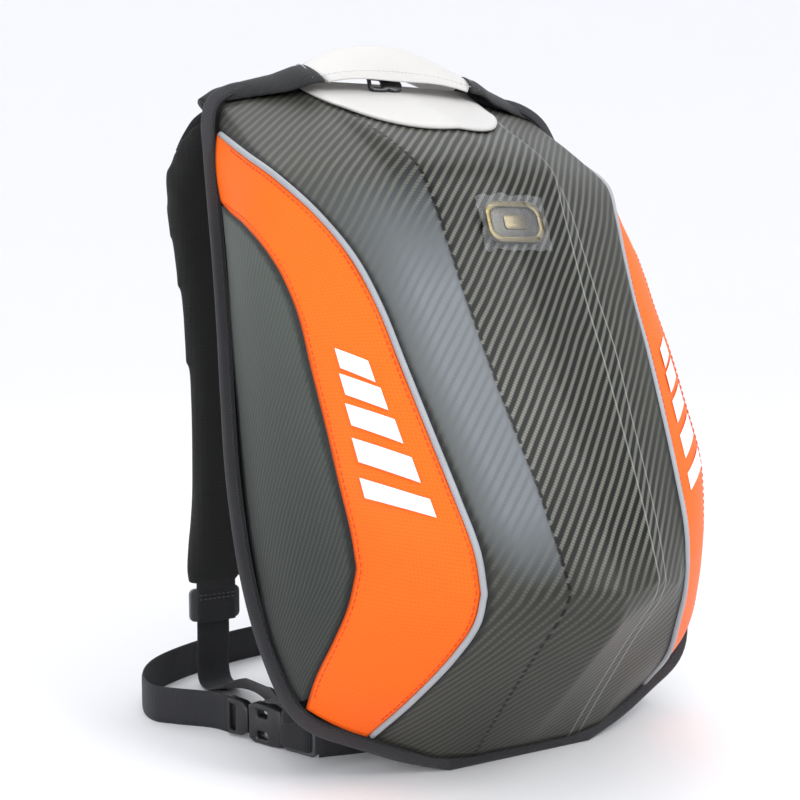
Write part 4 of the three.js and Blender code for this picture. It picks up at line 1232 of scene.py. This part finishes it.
# %% Waist belt
FRONT_BELT = np.array([[127, 62], [90, 51], [45, 44], [0, 42.6], [-45, 44], [-90, 51], [-113, 56]])
HEADING = math.radians(115.8)
BELT_DIRECTION = np.array([math.cos(HEADING), math.sin(HEADING)])
SLIDER_START, SLIDER_LENGTH = 1.2, 26.0
SOCKET_START, SOCKET_LENGTH = SLIDER_START + SLIDER_LENGTH + GAP, 27.6
PLUG_START, PLUG_LENGTH = 55.5, 18.05
PLUG_END = PLUG_START + PLUG_LENGTH
BELT_WIDTH, BELT_MIDDLE, FITTING_MIDDLE = 25, 12.5, 13.0


def belt_place(distance):
    return FRONT_BELT[-1] + BELT_DIRECTION * distance


REAR_BELT = np.array([belt_place(PLUG_END + GAP), belt_place(PLUG_END + 15.3), [-172, 156], [-182, 168],
                      [-182, 192], [-166, 222], [-135, 245], [-80, 266], [0, 274], [80, 266], [135, 245],
                      [168, 222], [183, 188], [170, 140], [150, 95], [127.9, 62.9]])
for name, route, node, count in (("belt_run_front", FRONT_BELT, "belt_front", 60),
                                 ("belt_run_rear", REAR_BELT, "belt_rear", 140)):
    path = along_path(np.insert(route, 2, BELT_MIDDLE, axis=1), count)
    finished(swept(name, path, (0, 0, 1), BELT_WIDTH, BAND_THICK, BELT, standing), "black_webbing", node)


def belt_plate(name, distance, outline_points, holes, thick, bevel, material, node):
    place = standing([*belt_place(distance), FITTING_MIDDLE])[0]
    matrix = frame_matrix(place, (*BELT_DIRECTION, 0), (0, 0, 1))
    made = plate(name, outline_points, holes, thick, bevel, matrix, material)
    return finished(made, "black_plastic", node)


belt_plate("belt_slide", SLIDER_START + SLIDER_LENGTH / 2, rounded(26, 26, 3),
           [rounded(6.8, 20, 1, (-5.7, 0)), rounded(6, 18, 1, (5.7, 0))], 5, 1.2, GREY_PLASTIC, "belt_slider")
socket_outline = [(-13.8, -12), (-6, -13), (9, -13), (13.8, -11), (13.8, 11), (9, 13), (-6, 13), (-13.8, 12)]
belt_plate("release_socket", SOCKET_START + SOCKET_LENGTH / 2, socket_outline,
           [rounded(8, 4.5, 1.5, (2, 7)), rounded(8, 4.5, 1.5, (2, -7))], 9, 2.2, PLASTIC, "buckle_socket")
plug_outline = [(-9, -8), (-3, -11), (9, -12), (9, 12), (-3, 11), (-9, 8)]
belt_plate("release_plug", PLUG_START + 9, plug_outline, [rounded(4.5, 17, 1, (4.5, 0))], 8.6, 2.0, PLASTIC,
           "buckle_plug")

# %% [markdown]
# Webbing is wrapped round the slider's bar. It is a closed loop that stands on its edge: a long flat oval
# seen from above. On each side a cloth wing comes down from the back wall's lower corner towards the belt.

# %% Wrapped webbing and wings
BELT_NORMAL = np.array([-BELT_DIRECTION[1], BELT_DIRECTION[0]])
WRAP_START, WRAP_HALF_LENGTH, WRAP_HALF_DEPTH, WRAP_MIDDLE = 16.0, 12.5, 5.2, 13.4
loop_points = []
for angle in np.linspace(0, math.tau, 48, endpoint=False):
    reach = np.sign(math.cos(angle)) * abs(math.cos(angle)) ** 0.35
    depth = np.sign(math.sin(angle)) * abs(math.sin(angle)) ** 0.7
    flat = belt_place(WRAP_START + WRAP_HALF_LENGTH * reach) + BELT_NORMAL * depth * WRAP_HALF_DEPTH
    loop_points.append([*flat, WRAP_MIDDLE])
wrapped = swept("wrapped_webbing", loop_points, (0, 0, 1), 20, 1.7, WEBBING, standing, closed=True)
finished(wrapped, "black_webbing")
WING_ROWS = np.array([[-122, 30, 52], [-124, 42, 44], [-125, 54, 34], [-124, 63, 24]])
for word, side in (("left", -1), ("right", 1)):
    made = swept(f"belt_wing_{word}", along_path(WING_ROWS * [-side, 1, 1], 30), (1, 0, 0),
                 np.linspace(40, 22, 30), 2.4, CLOTH, standing)
    finished(made, "black_cloth")

# %% [markdown]
# Two small fittings finish the front. The clip under the handle is a hook of glossy plastic, and the badge
# is a plain bevelled frame of plated metal, still under its wrinkled clear film.

# %% Clip, badge and film
CLIP_PLACE = (-8, HANDLE_Y - 14, BAG_HEIGHT + 1.5 - 10)
CLIP_OUTLINE = [(-13, 6.5), (-13, -3.9), (-10.4, -6.5), (-2, -6.5), (2, -4.8), (6, -6.5), (11.7, -4.5),
                (13, 0), (10.9, 5.2), (7.8, 6.5)]
up_axis = leaned([0, 0, 1])[0] - leaned([0, 0, 0])[0]
clip = plate("hook_clip", CLIP_OUTLINE, [rounded(8, 6.5, 1.2, (-7, 0.2))], 4, 1.2,
             frame_matrix(leaned(CLIP_PLACE)[0], (1, 0, 0), up_axis), PLASTIC)
finished(clip, "black_plastic", "handle_clip")
BADGE_ROW = 10.4
badge_seat = surface(section_line(BADGE_ROW), 0)


def badge_part(name, outline_points, holes, thick, bevel, depth, material):
    place = leaned([0, badge_seat[1] - depth, badge_seat[2]])[0]
    matrix = frame_matrix(place, (1, 0, 0), up_axis)
    return plate(name, outline_points, holes, thick, bevel, matrix, material)


def barrel(width, height, bulge, corner):
    """A rectangle with round corners, whose sides bulge outwards."""
    return [(x * (1 + bulge * (1 - (2 * y / height) ** 2)), y * (1 + bulge * (1 - (2 * x / width) ** 2)))
            for x, y in rounded(width, height, corner, steps=9)]


ring = badge_part("badge_frame", barrel(38, 26, 0.09, 7), [barrel(30.5, 18.5, 0.09, 5.5)], 2.6, 0.6, 2.0,
                  METAL)
bed = badge_part("badge_bed", barrel(33, 21, 0.09, 5.5), [], 1.2, 0.2, 1.2, ENAMEL)
raised = badge_part("badge_centre", barrel(15, 9.5, 0.05, 2), [], 1.6, 0.4, 1.9, METAL)
finished(ring, "badge_metal", "badge_plate")
finished(bed, "badge_metal")
finished(raised, "badge_metal")


FILM_WIDTH, FILM_HEIGHT, FILM_AWAY, FILM_WALL = 48.0, 37.0, 3.6, 0.15


def film_sheet():
    """A sheet that bulges over the badge, with small folds that grow towards its ragged edge."""
    rows = []
    for v in np.linspace(-0.5, 0.5, 40):
        line = []
        for u in np.linspace(-0.5, 0.5, 52):
            x, z = u * FILM_WIDTH, v * FILM_HEIGHT
            edge = max(abs(u), abs(v)) * 2
            fold = noise.noise(Vector((x / 7, z / 7, 3.1))) * 1.1
            fold += noise.noise(Vector((x / 2.6, z / 2.6, 8))) * 0.5
            x += 2.2 * noise.noise(Vector((z / 5, 1.7, u))) * abs(u) * 2
            z += 2.2 * noise.noise(Vector((x / 5, 6.2, v))) * abs(v) * 2
            away = FILM_AWAY if edge < 0.75 else FILM_AWAY - (edge - 0.75) * 8
            line.append((x, badge_seat[1] - away - max(fold * edge, -0.6), badge_seat[2] + z))
        rows.append(line)
    points = np.array(rows)
    made = grid_mesh("wrinkled_film", leaned_grid(points), points, FILM)
    return finished(outward(thicken(made, FILM_WALL, 0.0)), "clear_film", "badge_film")


film_sheet()
